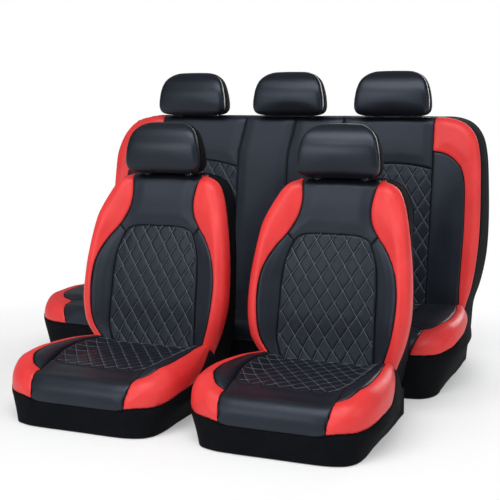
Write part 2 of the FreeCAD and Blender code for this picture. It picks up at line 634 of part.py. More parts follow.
# ---------------------------------------------------------------- build, check and write
all_hooks = []
for prefix, x_alias in (("driver", "driver_x"), ("passenger", "passenger_x")):
    all_hooks += front_seat(Seat(prefix, x_alias, "front_y"))
all_hooks += rear_bench(Seat("rear", "0", "rear_y"))
node(group("strap_hooks_body", all_hooks), "strap_hooks")

doc.recompute()
for item in doc.Objects:
    if "Invalid" in item.State or "Error" in item.State:
        raise RuntimeError(f"{item.Name} failed: {item.State}")
os.makedirs("parts", exist_ok=True)
for label, item in NODES.items():
    shape = item.Shape
    if shape.isNull() or not shape.isValid() or not shape.Solids:
        raise RuntimeError(f"{label} has no valid solid")
    shape.exportStep(f"parts/{label}.step")
    size = shape.BoundBox
    print(f"{label:28s} solids {len(shape.Solids)}  {size.XLength:7.1f} x {size.YLength:7.1f}"
          f" x {size.ZLength:7.1f} mm  {shape.Volume / 1e3:9.1f} cm3")
print("nodes", len(NODES))
print("front pivot y", round(number(FRONT_PIVOT_Y + "+front_y"), 3))
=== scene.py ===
# %% [markdown]
# # A set of sewn car seat covers, shown on its seats
# The set dresses two front bucket seats and a rear bench. Every cover is leatherette on foam:
# black with red side panels, a diamond quilt in the middle, and a matt fabric skirt and side
# strip. The model is loaded first as a fixed frame, and everything below is dressed onto it.

# %% Load the frame
import json
import math

import bmesh
import bpy
import numpy as np
from mathutils import Matrix, Vector, kdtree


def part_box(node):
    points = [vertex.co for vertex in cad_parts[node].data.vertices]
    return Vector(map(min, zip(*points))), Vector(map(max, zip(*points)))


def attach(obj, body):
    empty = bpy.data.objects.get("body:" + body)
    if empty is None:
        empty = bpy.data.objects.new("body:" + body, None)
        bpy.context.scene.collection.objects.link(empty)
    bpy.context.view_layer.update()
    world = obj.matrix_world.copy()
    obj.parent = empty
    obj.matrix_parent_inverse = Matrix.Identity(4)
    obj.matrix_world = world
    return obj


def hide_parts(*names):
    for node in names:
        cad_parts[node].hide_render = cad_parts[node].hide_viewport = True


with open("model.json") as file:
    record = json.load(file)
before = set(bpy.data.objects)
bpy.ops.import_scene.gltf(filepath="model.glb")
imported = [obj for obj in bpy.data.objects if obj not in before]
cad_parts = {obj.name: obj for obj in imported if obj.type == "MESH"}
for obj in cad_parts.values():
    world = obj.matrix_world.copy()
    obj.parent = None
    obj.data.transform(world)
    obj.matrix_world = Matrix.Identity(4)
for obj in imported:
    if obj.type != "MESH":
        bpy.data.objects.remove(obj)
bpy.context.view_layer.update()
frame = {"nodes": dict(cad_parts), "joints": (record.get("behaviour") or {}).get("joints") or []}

# %% [markdown]
# The camera comes before the pieces, so that every later view is taken from one place. It
# stands to the right of the set at a little over head height of the seats and looks down 8
# degrees, through a longish lens that keeps the three seats from spreading.

# %% Camera
camera = bpy.data.objects.new("camera", bpy.data.cameras.new("camera"))
bpy.context.scene.collection.objects.link(camera)
camera.location = (1.3797, -3.1451, 0.9295)
camera.rotation_euler = (math.radians(81.9), 0, math.radians(22.5))
camera.data.lens = 75.1
camera.data.sensor_width = 36
bpy.context.scene.camera = camera
bpy.context.scene.view_settings.view_transform = "Standard"
print("camera lens", camera.data.lens)

# %% [markdown]
# Each seat is drawn in millimetres about its own bite line, the crease where cushion and back
# meet: x from the seat's middle, y from the crease, z from the floor. The crease lies a seat
# gap behind the cushion's CAD node, so its place is read from the frame and not typed in.

# %% Seat places
MM = 0.001
SEAT_GAP = 8


def seat_place(cushion_node):
    low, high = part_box(cushion_node)
    return np.array([(low[0] + high[0]) / 2, high[1] + SEAT_GAP * MM, 0])


PLACES = {"driver": seat_place("driver_cushion_cover"),
          "passenger": seat_place("passenger_cushion_cover"),
          "rear": seat_place("rear_cushion_cover")}
LEANS = {}
for joint in frame["joints"]:
    if joint["name"].endswith("headrest_height"):
        axis = joint["axis"]
        LEANS[joint["name"].split("_")[0]] = axis[1] / axis[2]
print({name: np.round(spot, 4).tolist() for name, spot in PLACES.items()})
print({name: round(math.degrees(math.atan(slope)), 2) for name, slope in LEANS.items()})


# %% [markdown]
# A sewn cover is flat cloth cut to a pattern. The same idea builds it here: every panel is a
# grid between four seam lines drawn on a flat pattern, and one rule per seat wraps the pattern
# over the padding. Neighbouring panels share a seam line, so they always meet.

# %% Lines and patches on the pattern
def smooth(low, high, x):
    t = np.clip((np.asarray(x, float) - low) / (high - low), 0, 1)
    return t * t * (3 - 2 * t)


def spaced(points, count):
    """The same line with count points at equal steps."""
    points = np.asarray(points, float)
    steps = np.r_[0, np.cumsum(np.linalg.norm(np.diff(points, axis=0), axis=1))]
    at = np.linspace(0, steps[-1], count)
    return np.stack([np.interp(at, steps, points[:, k]) for k in range(points.shape[1])], 1)


def curve(points, count=80):
    """A smooth line through the points (Catmull-Rom), evenly spaced."""
    p = np.asarray(points, float)
    if len(p) < 3:
        return spaced(p, count)
    ends = np.vstack([2 * p[0] - p[1], p, 2 * p[-1] - p[-2]])
    t = np.linspace(0, 1, 12, endpoint=False)[:, None]
    run = []
    for a, b, c, d in zip(ends, ends[1:], ends[2:], ends[3:]):
        ta = np.linalg.norm(b - a) ** 0.5
        tb = max(np.linalg.norm(c - b) ** 0.5, 1e-6)
        tc = np.linalg.norm(d - c) ** 0.5
        m1 = c - b + tb * ((b - a) / max(ta, 1e-6) - (c - a) / max(ta + tb, 1e-6))
        m2 = c - b + tb * ((d - c) / max(tc, 1e-6) - (d - b) / max(tc + tb, 1e-6))
        run.append((2 * t**3 - 3 * t**2 + 1) * b + (t**3 - 2 * t**2 + t) * m1
                   + (3 * t**2 - 2 * t**3) * c + (t**3 - t**2) * m2)
    return spaced(np.vstack(run + [p[-1:]]), count)


print("a line of 3 points, spaced to", len(curve([(0, 0), (50, 20), (90, 80)])), "points")

# %% [markdown]
# A panel is known by its four seams: bottom, top, left and right. A Coons patch fills the space
# between them with an even grid that meets all four, which a plain subdivided face wouldn't.

# %% Patches between four seams
def chain(*lines):
    """Several lines end to end, corners kept."""
    return np.vstack([np.asarray(line, float) for line in lines])


def mirror(points):
    return np.asarray(points, float) * (-1, 1)


def patch(bottom, top, left, right, step):
    """Grid points between four lines (a Coons patch), about step apart."""
    def length(line):
        return np.linalg.norm(np.diff(np.asarray(line, float), axis=0), axis=1).sum()
    nu = max(4, round(max(length(bottom), length(top)) / step))
    nv = max(4, round(max(length(left), length(right)) / step))
    b, t = spaced(bottom, nu + 1)[None], spaced(top, nu + 1)[None]
    le, r = spaced(left, nv + 1)[:, None], spaced(right, nv + 1)[:, None]
    u = np.linspace(0, 1, nu + 1)[None, :, None]
    v = np.linspace(0, 1, nv + 1)[:, None, None]
    corners = ((1 - u) * (1 - v) * b[:, :1] + u * (1 - v) * b[:, -1:]
               + (1 - u) * v * t[:, :1] + u * v * t[:, -1:])
    return (1 - v) * b + v * t + (1 - u) * le + u * r - corners


def mirror_quad(quad):
    bottom, top, left, right = (mirror(line) for line in quad)
    return bottom[::-1], top[::-1], right, left


trial = patch([(0, 0), (100, 0)], [(0, 80), (100, 80)], [(0, 0), (0, 80)], [(100, 0), (100, 80)],
              20)
print("a patch of 100 x 80 mm at 20 mm has", trial.shape[:2], "points")


# %% [markdown]
# Padding has a face and a rounded rim. The rim is kept as a line on the pattern, inset from the
# silhouette. Inside the line the pattern lies on the face. Outside it the cloth rolls over a
# quarter ellipse, and past that it runs straight back, or straight down on a cushion.

# %% The rim of a padded form
def make_rim(half, count=150):
    """The rim line of a form, from one end round to the other, from its right half."""
    right = curve(half, count)
    points = np.vstack([mirror(right), right[::-1][1:]])
    points = spaced(points, 2 * count)
    along = np.gradient(points, axis=0)
    normal = np.stack([-along[:, 1], along[:, 0]], 1)
    normal /= np.linalg.norm(normal, axis=1)[:, None]
    for _ in range(6):
        normal[1:-1] = (normal[:-2] + 2 * normal[1:-1] + normal[2:]) / 4
    normal /= np.linalg.norm(normal, axis=1)[:, None]
    steps = np.r_[0, np.cumsum(np.linalg.norm(np.diff(points, axis=0), axis=1))]
    if (points * normal)[len(points) // 4].sum() < 0:
        normal = -normal
    return {"points": points, "normal": normal, "s": steps / steps[-1]}


def near_rim(rim, q):
    """Nearest rim point, rim direction, distance outside, and place along the rim."""
    p, n, s = rim["points"], rim["normal"], rim["s"]
    side = p[1:] - p[:-1]
    blocks = np.array_split(q, max(1, len(q) // 2000))
    nearest = np.concatenate([((block[:, None] - p[None]) ** 2).sum(2).argmin(1)
                              for block in blocks])
    best = np.full(len(q), 1e9)
    foot, way, place = np.zeros_like(q), np.zeros_like(q), np.zeros(len(q))
    for step in (-1, 0):
        k = np.clip(nearest + step, 0, len(p) - 2)
        t = ((q - p[k]) * side[k]).sum(1) / (side[k] ** 2).sum(1)
        t = np.clip(t, 0, 1)[:, None]
        f = p[k] + t * side[k]
        d = np.linalg.norm(q - f, axis=1)
        m = d < best
        best[m], foot[m] = d[m], f[m]
        way[m] = ((1 - t) * n[k] + t * n[k + 1])[m]
        place[m] = (s[k] + t[:, 0] * (s[k + 1] - s[k]))[m]
    way /= np.linalg.norm(way, axis=1)[:, None]
    out = ((q - foot) * way).sum(1)
    return foot, way, np.where(out > 0, best, 0), place


def rim_line(form, start, end, out, count=160):
    """Pattern points along the rim between two places, a distance outside it."""
    rim = form["rim"]
    s = np.linspace(start, end, count)
    foot = np.stack([np.interp(s, rim["s"], rim["points"][:, k]) for k in (0, 1)], 1)
    way = np.stack([np.interp(s, rim["s"], rim["normal"][:, k]) for k in (0, 1)], 1)
    way /= np.linalg.norm(way, axis=1)[:, None]
    out = out(foot, way) if callable(out) else out
    return foot + way * np.reshape(out, (-1, 1))


def rim_place(form, point):
    return float(near_rim(form["rim"], np.array([point], float))[3][0])


print("rim helpers ready")

# %% [markdown]
# Wrapping turns a flat pattern point into a place on the seat. It could be done by projecting
# cloth onto a sculpted pad, but a rule keeps seams exact and costs no time. A back and a cushion
# each have their own rule, because a back's edge runs rearwards and a cushion's runs down.

# %% Wrapping the pattern over backs and cushions
def wrap_back(form, q):
    """Pattern (x, height) to seat millimetres for a back."""
    foot, way, out, _ = near_rim(form["rim"], q)
    roll, run = form["roll"], form["run"]
    turn = np.clip(out / run, 0, 1) * math.pi / 2
    radius = roll - form["top_less"] * np.clip(way[:, 1], 0, 1) ** 2
    past = np.clip((out - run) / np.maximum(form["strip"](foot, way), 1), 0, 1)
    reach = radius * np.sin(turn) - form["taper"](foot, way) * past
    flat = np.where(out[:, None] > 0, foot + way * reach[:, None], q)
    x, z = flat.T
    y = form["plane"](z) + form["face"](x, z) * np.cos(turn)
    y += form["drop"] * (1 - np.cos(turn)) + np.clip(out - run, 0, None)
    return np.stack([x, y, z], 1)


def wrap_cushion(form, q):
    """Pattern (x, y) to seat millimetres for a cushion."""
    foot, way, out, _ = near_rim(form["rim"], q)
    roll, run, edge = form["roll"], form["run"], form["edge_z"]
    turn = np.clip(out / run, 0, 1) * math.pi / 2
    past = np.clip(out - run, 0, edge) / edge
    reach = roll * np.sin(turn) - form["taper"](foot, way) * past
    flat = np.where(out[:, None] > 0, foot + way * reach[:, None], q)
    crown = form["face"](*np.where(out[:, None] > 0, foot + way * np.minimum(out, 6)[:, None],
                                   q).T)
    z = edge + (crown - edge) * np.cos(turn) - edge * past
    return np.stack([flat[:, 0], flat[:, 1], z], 1)


def on_form(form, grid):
    """Wrap a line or grid of pattern points."""
    grid = np.asarray(grid, float)
    flat = form["wrap"](form, grid.reshape(-1, 2))
    flat[:, 0] -= form["ease"](flat[:, 0], flat[:, 1], flat[:, 2])
    return flat.reshape(grid.shape[:-1] + (3,))


def lifted(form, line, height):
    """Points of a pattern line, raised off the cloth by a height."""
    line = np.asarray(line, float)
    e = 0.5
    du = on_form(form, line + (e, 0)) - on_form(form, line - (e, 0))
    dv = on_form(form, line + (0, e)) - on_form(form, line - (0, e))
    normal = np.cross(du, dv)
    normal /= np.maximum(np.linalg.norm(normal, axis=-1), 1e-9)[..., None]
    return on_form(form, line) + normal * height, normal


print("wrapping rules ready")

# %% [markdown]
# Every new piece is linked, given its finish and set to ride a body in one place, so that none
# is forgotten. Its material slot follows from its finish.


def read(items, what):
    """One three-part value of every vertex or face, as an array."""
    values = np.empty(len(items) * 3)
    items.foreach_get(what, values)
    return values.reshape(-1, 3)


def finish_piece(name, mesh, material, body, smooth_faces=True):
    """Link a mesh as a piece that rides a body and takes its finish's slot."""
    obj = bpy.data.objects.new(name, mesh)
    bpy.context.scene.collection.objects.link(obj)
    mesh.materials.append(material)
    mesh.polygons.foreach_set("use_smooth", [smooth_faces] * len(mesh.polygons))
    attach(obj, body)
    return obj


# %% [markdown]
# A grid becomes cloth in three steps. The grid operator makes the faces, the wrapped points
# place its corners, and Solidify gives it thickness.

# %% From pattern grid to mesh
def grid_mesh(name, points):
    """A grid operator's mesh with its corners moved to the given points (metres)."""
    rows, cols = points.shape[:2]
    bm = bmesh.new()
    bmesh.ops.create_grid(bm, x_segments=cols - 1, y_segments=rows - 1, size=0.5)
    mesh = bpy.data.meshes.new(name)
    bm.to_mesh(mesh)
    bm.free()
    co = read(mesh.vertices, "co")
    i = np.round((co[:, 0] + 0.5) * (cols - 1)).astype(int)
    j = np.round((co[:, 1] + 0.5) * (rows - 1)).astype(int)
    mesh.vertices.foreach_set("co", points[j, i].ravel())
    mesh.update()
    return mesh


def grid_normals(points):
    du = np.gradient(points, axis=1)
    dv = np.gradient(points, axis=0)
    normal = np.cross(du, dv)
    return normal / np.maximum(np.linalg.norm(normal, axis=2), 1e-9)[..., None]


print("grid helpers ready")

# %% [markdown]
# Near each seam the cloth dives into a groove, and inside it swells over the foam. Both depend
# on the distance to the nearest sewn edge. Sculpting could do this by hand, but the distance
# gives every seam the same depth.

# %% Grooves and swelling
SEAM_DEEP, SEAM_WIDE = 3.6, 9
SWELL_WIDE = 45


def edge_distance(points, open_sides=""):
    """How far each grid point is from the panel's sewn edges."""
    sides = {"b": points[0], "t": points[-1], "l": points[:, 0], "r": points[:, -1]}
    border = [spaced(line, 2 * len(line)) for key, line in sides.items()
              if key not in open_sides]
    if not border:
        return np.full(points.shape[:2], 1e3)
    border = np.vstack(border)
    tree = kdtree.KDTree(len(border))
    for k, spot in enumerate(border):
        tree.insert(spot, k)
    tree.balance()
    flat = points.reshape(-1, 3)
    return np.array([tree.find(spot)[2] for spot in flat]).reshape(points.shape[:2])


def swell(distance, puff):
    """Height of padded cloth over its pattern, by distance from the seam."""
    t = 1 - np.clip(distance / SEAM_WIDE, 0, 1)
    return -SEAM_DEEP * (1 - np.sqrt(1 - t * t)) + puff * smooth(0, SWELL_WIDE, distance)


print("seams are", SEAM_DEEP, "mm deep and", SEAM_WIDE, "mm wide each side")

# %% [markdown]
# Leatherette panels lie on thin foam, and fabric panels are single sheets.

# %% A sewn panel
CLOTH_WALL = 1.5


def panel(name, form, grid, material, body, relief=None, puff=2, wall=2.4, place=(0, 0, 0),
          open_sides="", shape=None, held=None):
    """One sewn panel: pattern grid, wrapped, swollen, and thickened inwards."""
    points = on_form(form, grid) if shape is None else shape
    normal = grid_normals(points)
    outward = points - form["core"]
    if (normal * outward).sum() < 0:
        normal = -normal
    distance = edge_distance(points, open_sides)
    height = swell(distance, puff)
    if relief is not None:
        height = height + relief(grid, points, distance)
    points = (points + normal * height[..., None]) * MM + np.asarray(place)
    mesh = grid_mesh(name, points)
    core = Vector(np.asarray(form["core"]) * MM + np.asarray(place))
    if sum(p.normal.dot(p.center - core) * p.area for p in mesh.polygons) < 0:
        mesh.flip_normals()
    obj = finish_piece(name, mesh, material, body)
    wall_maker = obj.modifiers.new("thickness", "SOLIDIFY")
    wall_maker.thickness = wall * MM
    wall_maker.offset = -1
    if held is None:
        return obj
    return obj


print("fabric is", CLOTH_WALL, "mm thick")

# %% [markdown]
# Seams are closed with a fine cord of thread-covered cloth at the bottom of the groove. Stitches
# are short rods of thread, laid one after another. Both follow the same pattern lines as the
# panels, so they can't drift off the seams.

# %% Seam cords and stitches
def tubes(name, lines, radius, material, body, place, sides=1):
    """One mesh of round cords along several lines (seat millimetres)."""
    data = bpy.data.curves.new(name, "CURVE")
    data.dimensions = "3D"
    data.bevel_depth = radius * MM
    data.bevel_resolution = sides
    data.use_fill_caps = True
    for line in lines:
        spline = data.splines.new("POLY")
        spline.points.add(len(line) - 1)
        spots = np.hstack([line * MM + np.asarray(place), np.ones((len(line), 1))])
        spline.points.foreach_set("co", spots.ravel())
    holder = bpy.data.objects.new(name + "_line", data)
    mesh = bpy.data.meshes.new_from_object(holder)
    mesh.name = name
    bpy.data.objects.remove(holder)
    bpy.data.curves.remove(data)
    return finish_piece(name, mesh, material, body)


def stitches(name, runs, radius, length, material, body, place):
    """Short thread rods; runs hold (points, directions) in seat millimetres."""
    rods = []
    for spots, ways in runs:
        ways = ways / np.linalg.norm(ways, axis=1)[:, None] * length / 2
        rods += [np.array([spot - way, spot + way]) for spot, way in zip(spots, ways)]
    return tubes(name, rods, radius, material, body, place, 0)


print("seam and stitch helpers ready")

# %% [markdown]
# The quilt is two families of parallel stitch lines that cross in tall diamonds. Thread pulls
# the leatherette down along each line, and foam pushes it up between them.

# %% The diamond quilt
def diamond_distance(x, h, wide, tall):
    """Distance to the nearest quilt line."""
    scale = 1 / math.hypot(1 / wide, 1 / tall)
    lines = [x / wide + h / tall, x / wide - h / tall]
    return np.minimum(*(np.abs(a - np.round(a)) * scale for a in lines))


GROOVE = 2.2
QUILT_PUFF = 0.6
THREAD_LIFT = -GROOVE + 3.7


def quilt_relief(wide, tall):
    """Groove along each quilt line, swelling between them, fading out at the seams."""
    def relief(grid, points, distance):
        d = diamond_distance(grid[..., 0], grid[..., 1], wide, tall)
        height = -GROOVE * np.exp(-(d / 2.2) ** 2) + QUILT_PUFF * smooth(0, 10, d)
        return height * smooth(2, 8, distance)
    return relief


print("quilt grooves", GROOVE, "mm deep")

# %% [markdown]
# The stitches need points on the quilt lines, kept to the inside of the panel and a few
# millimetres clear of its seams.

# %% Stitch lines of the quilt
def inside(outline, q):
    """Which pattern points lie inside a closed outline."""
    hit = np.zeros(len(q), bool)
    for a, b in zip(outline, np.roll(outline, -1, axis=0)):
        spans = (a[1] > q[:, 1]) != (b[1] > q[:, 1])
        cross = (b[0] - a[0]) * (q[:, 1] - a[1]) / ((b[1] - a[1]) or 1e-9) + a[0]
        hit ^= spans & (q[:, 0] < cross)
    return hit


def quilt_runs(form, quad, wide, tall, pitch, height):
    """Stitch spots along every quilt line inside a panel."""
    bottom, top, left, right = (np.asarray(line, float) for line in quad)
    outline = np.vstack([bottom, right, top[::-1], left[::-1]])
    low, high = outline.min(0), outline.max(0)
    lines = []
    for sign in (1, -1):
        slope = np.array([wide, -sign * tall]) / math.hypot(wide, tall)
        ends = [low[0] / wide + sign * z / tall for z in (low[1], high[1])]
        ends += [high[0] / wide + sign * z / tall for z in (low[1], high[1])]
        for k in range(math.ceil(min(ends)), math.floor(max(ends)) + 1):
            start = np.array([k * wide, 0.0])
            reach = np.arange(-1400, 1400, pitch)
            line = start + slope * reach[:, None]
            line = line[inside(outline, line)]
            if len(line) < 3:
                continue
            gap = np.abs(line[:, None] - outline[None]).max(2).min(1)
            line = line[gap > 5]
            if len(line) > 2:
                lines.append(line)
    spots, _ = lifted(form, np.vstack(lines), height)
    ends = np.cumsum([len(line) for line in lines])[:-1]
    return [(part, np.gradient(part, axis=0)) for part in np.split(spots, ends)]


print("thread lies", round(THREAD_LIFT, 2), "mm over the pattern")

# %% [markdown]
# ## Finishes
# Leatherette is soft vinyl with a fine pebble grain. Voronoi cells give the pebbles, a slower
# noise gives the change of gloss where hands and sunlight have been, and both only bend the
# light through Bump. Object coordinates keep the grain at its real size on every panel.

# %% Material helper
def new_material(name, color, rough, **sockets):
    material = bpy.data.materials.new(name)
    material.use_nodes = True
    nodes, links = material.node_tree.nodes, material.node_tree.links
    shader = nodes["Principled BSDF"]
    shader.inputs["Base Color"].default_value = (*color, 1)
    shader.inputs["Roughness"].default_value = rough
    for socket, value in sockets.items():
        shader.inputs[socket.replace("_", " ")].default_value = value
    coords = nodes.new("ShaderNodeTexCoord")
    return material, nodes, links, shader, coords.outputs["Object"]


def add_ramp(nodes, links, source, stops):
    ramp = nodes.new("ShaderNodeValToRGB")
    links.new(source, ramp.inputs["Fac"])
    while len(ramp.color_ramp.elements) < len(stops):
        ramp.color_ramp.elements.new(0.5)
    for element, (at, color) in zip(ramp.color_ramp.elements, stops):
        element.position = at
        element.color = (*color, 1)
    return ramp.outputs["Color"]


def add_noise(nodes, links, coords, scale, detail=3):
    noise = nodes.new("ShaderNodeTexNoise")
    noise.inputs["Scale"].default_value = scale
    noise.inputs["Detail"].default_value = detail
    links.new(coords, noise.inputs["Vector"])
    return noise.outputs["Fac"]


def add_bump(nodes, links, shader, height, strength, distance, under=None):
    bump = nodes.new("ShaderNodeBump")
    bump.inputs["Strength"].default_value = strength
    bump.inputs["Distance"].default_value = distance
    links.new(height, bump.inputs["Height"])
    if under is not None:
        links.new(under, bump.inputs["Normal"])
    links.new(bump.outputs["Normal"], shader.inputs["Normal"])
    return bump.outputs["Normal"]


def add_range(nodes, links, source, low, high):
    spread = nodes.new("ShaderNodeMapRange")
    spread.inputs["To Min"].default_value = low
    spread.inputs["To Max"].default_value = high
    links.new(source, spread.inputs["Value"])
    return spread.outputs["Result"]


print("node helpers ready")

# %% [markdown]
# The four leatherettes share one recipe and differ in colour and gloss. The blacks are almost
# black underneath and take a cool tint in their shine, as dyed vinyl does. The red is a plain
# bright dye, a little rougher.

# %% Leatherette
def leatherette(name, dark, light, rough_low, rough_high, grain=0.25, **sockets):
    material, nodes, links, shader, coords = new_material(name, light, rough_high, **sockets)
    cloud = add_noise(nodes, links, coords, 9, 4)
    links.new(add_ramp(nodes, links, cloud, [(0.3, dark), (0.7, light)]),
              shader.inputs["Base Color"])
    links.new(add_range(nodes, links, cloud, rough_low, rough_high), shader.inputs["Roughness"])
    soft = add_bump(nodes, links, shader, add_noise(nodes, links, coords, 45, 2), 0.12, 0.002)
    pebble = nodes.new("ShaderNodeTexVoronoi")
    pebble.inputs["Scale"].default_value = 620
    links.new(coords, pebble.inputs["Vector"])
    add_bump(nodes, links, shader, pebble.outputs["Distance"], grain, 0.0004, soft)
    return material


COOL = (0.72, 0.82, 1.0, 1)
BLACK = leatherette("black_leatherette", (0.0048, 0.006, 0.0095), (0.0085, 0.0102, 0.0155),
                    0.37, 0.46, Specular_IOR_Level=0.42, Specular_Tint=COOL)
GLOSSY = leatherette("headrest_leatherette", (0.003, 0.0038, 0.006), (0.0052, 0.0064, 0.0096),
                     0.31, 0.38, 0.15, Specular_IOR_Level=0.42, Specular_Tint=COOL)
QUILT = leatherette("quilted_leatherette", (0.0042, 0.0052, 0.008), (0.0075, 0.009, 0.013),
                    0.38, 0.47, Specular_IOR_Level=0.36, Specular_Tint=COOL)
RED = leatherette("red_leatherette", (0.68, 0.030, 0.030), (0.78, 0.044, 0.044), 0.38, 0.48,
                  0.2, Specular_IOR_Level=0.35)
print("leatherettes", [m.name for m in (BLACK, GLOSSY, QUILT, RED)])


# %% [markdown]
# The skirt and the side strips are a tricot fabric, which scatters light and looks almost flat
# black. A fine crossed wave gives the knit. Thread, zip, steel and plastic follow, each with a
# small change of tone that keeps it from looking painted.

# %% Fabric, thread, metal and plastic
def knit(name, dark, light, scale=900, rough=0.9):
    material, nodes, links, shader, coords = new_material(name, light, rough,
                                                          Specular_IOR_Level=0.1)
    waves = []
    for direction in ("X", "Z"):
        wave = nodes.new("ShaderNodeTexWave")
        wave.bands_direction = direction
        wave.inputs["Scale"].default_value = scale
        wave.inputs["Distortion"].default_value = 1.5
        links.new(coords, wave.inputs["Vector"])
        waves.append(wave.outputs["Fac"])
    both = nodes.new("ShaderNodeMath")
    both.operation = "MULTIPLY"
    links.new(waves[0], both.inputs[0])
    links.new(waves[1], both.inputs[1])
    cloud = add_noise(nodes, links, coords, 30, 4)
    links.new(add_ramp(nodes, links, cloud, [(0.25, dark), (0.75, light)]),
              shader.inputs["Base Color"])
    add_bump(nodes, links, shader, both.outputs[0], 0.3, 0.0004)
    return material


def plain(name, dark, light, rough_low, rough_high, scale=60, bump=0.05, **sockets):
    material, nodes, links, shader, coords = new_material(name, light, rough_high, **sockets)
    cloud = add_noise(nodes, links, coords, scale, 4)
    links.new(add_ramp(nodes, links, cloud, [(0.3, dark), (0.7, light)]),
              shader.inputs["Base Color"])
    links.new(add_range(nodes, links, cloud, rough_low, rough_high), shader.inputs["Roughness"])
    add_bump(nodes, links, shader, add_noise(nodes, links, coords, 900, 2), bump, 0.0003)
    return material


FABRIC = knit("side_fabric", (0.0022, 0.0026, 0.0038), (0.0042, 0.0048, 0.0066))
SEAM = knit("seam_cord", (0.003, 0.003, 0.004), (0.005, 0.005, 0.006), 1500)
WEB = knit("elastic_webbing", (0.012, 0.012, 0.013), (0.03, 0.03, 0.032), 700)
# The quilt thread is a light grey-blue, made lighter still so that its colour also paints the
# highlight along the embossed quilt lines.
THREAD_WITH_HIGHLIGHT = plain("quilt_thread", (0.12, 0.135, 0.17), (0.17, 0.19, 0.235), 0.45, 0.55, 400)
FOAM = plain("seat_foam", (0.42, 0.38, 0.28), (0.52, 0.47, 0.36), 0.85, 0.95, 250, 0.6)
STEEL = plain("coated_steel", (0.018, 0.018, 0.02), (0.03, 0.03, 0.033), 0.4, 0.5, 40, 0.1,
              Metallic=0.3)
PIN = plain("zinc_steel", (0.42, 0.43, 0.45), (0.58, 0.59, 0.6), 0.3, 0.42, 80, 0.1,
            Metallic=1.0)
CHROME = plain("post_chrome", (0.62, 0.63, 0.65), (0.72, 0.73, 0.74), 0.08, 0.14, 30, 0.02,
               Metallic=1.0)
PLASTIC = plain("black_plastic", (0.012, 0.012, 0.013), (0.02, 0.02, 0.022), 0.42, 0.55, 90,
                0.25)
print("other finishes", [m.name for m in (FABRIC, SEAM, WEB, THREAD_WITH_HIGHLIGHT, FOAM, STEEL, PIN, CHROME,
                                          PLASTIC)])

# %% [markdown]
# The model's own parts keep their shape and take a finish by what they are, which their names
# tell. New pieces are given theirs as they are made.

# %% Finishes of the CAD parts
CAD_FINISHES = {("_frame", "_brackets"): STEEL, ("_pins", "_hooks"): PIN, ("_posts",): CHROME,
                ("_guides",): PLASTIC, ("_straps",): WEB}
for label, obj in frame["nodes"].items():
    for endings, finish in CAD_FINISHES.items():
        if label.endswith(endings):
            obj.data.materials.clear()
            obj.data.materials.append(finish)

# %% [markdown]
# ## Parts every cover shares
# All three seats are sewn from the same few things: leatherette panels, a fabric strip behind
# the rolled edge, a fabric rear, cords in the seams, and thread in the quilt. Making each once
# as a function keeps the seats alike.

# %% Leatherette panels
def wrinkle(amount, scale, seed):
    """A slow ripple, as in cloth that is pulled over a form."""
    def relief(grid, points, distance):
        x, y, z = np.moveaxis(points, 2, 0)
        wave = (np.sin(x / scale + 1.7 * np.sin(z / (1.9 * scale) + seed))
                + np.sin(z / (1.3 * scale) + 2.1 * np.sin(y / scale + 2 * seed)))
        return amount * wave * smooth(0, 30, distance)
    return relief


def cover_panel(name, part, form, quad, steps, diamonds, ripple, red_puff, place, body):
    """One leatherette panel. Its part picks the finish, the mesh step and the quilting."""
    quilted = part == "quilt"
    grid = patch(*quad, steps[0] if quilted else steps[1])
    relief = quilt_relief(*diamonds) if quilted else wrinkle(*ripple)
    paint = {"quilt": QUILT, "red": RED}.get(part, BLACK)
    return panel(name, form, grid, paint, body, relief, red_puff if part == "red" else 3,
                 place=place)


def both_sides(quad, paired):
    """A quad with its name ending, or the pair of quads left and right of the middle."""
    return (("_left", mirror_quad(quad)), ("_right", quad)) if paired else (("", quad),)


print("panel helpers ready")

# %% [markdown]
# Behind the rolled edge runs a strip of fabric, and a fabric panel closes the rear. Both are
# pulled tight when the cover is strapped on, so they have only a slow ripple and a slight bulge.

# %% Fabric strip and rear
def rear_edge(form, start, end, depth):
    """Seat points where the fabric strip ends behind the back."""
    line = rim_line(form, start, end,
                    lambda foot, way: form["run"] + depth(foot, way), 240)
    return on_form(form, line)


def side_strip(name, form, run, step, ripple, place, body):
    """The fabric strip behind the rolled edge of a back."""
    start, end = run
    count = 360 if start < 0.3 and end > 0.7 else 260
    near = rim_line(form, start, end, form["run"], count)
    far = rim_line(form, start, end,
                   lambda foot, way: form["run"] + form["strip"](foot, way), count)
    rows = max(6, round(np.linalg.norm(far - near, axis=1).max() / step))
    v = np.linspace(0, 1, rows + 1)[:, None, None]
    return panel(name, form, near[None] * (1 - v) + far[None] * v, FABRIC, body,
                 wrinkle(*ripple), 1.5, CLOTH_WALL, place, held="stretched")


def rear_panel(name, left, top, right, bottom, form, place, body, bulge):
    """The fabric back of a seat, stretched between the strip's rear edges."""
    grid = patch(bottom, top, left, right, 13)
    u = np.linspace(0, 1, grid.shape[1])[None, :]
    v = np.linspace(0, 1, grid.shape[0])[:, None]
    grid = grid + np.array([0, bulge, 0]) * (np.sin(math.pi * u)
                                             * np.sin(math.pi * v))[..., None] ** 0.5
    return panel(name, form, grid[..., (0, 2)], FABRIC, body, puff=1, place=place, shape=grid,
                 relief=wrinkle(0.5, 38, 1), wall=CLOTH_WALL, held="stretched")


print("fabric helpers ready")

# %% [markdown]
# Cords lie at the bottom of the seam grooves and along the bare rear edge. Thread follows the
# quilt lines on the surface.

# %% Seam cords and quilt thread
CORD_DEPTH, CORD_RADIUS = 2.6, 1.5


def unit_out(form, line, seam):
    """Outward direction of the cloth along a seam."""
    _, normal = lifted(form, spaced(seam, len(line)), 0)
    sign = np.sign(((line - form["core"]) * normal).sum())
    return normal * (sign or 1)


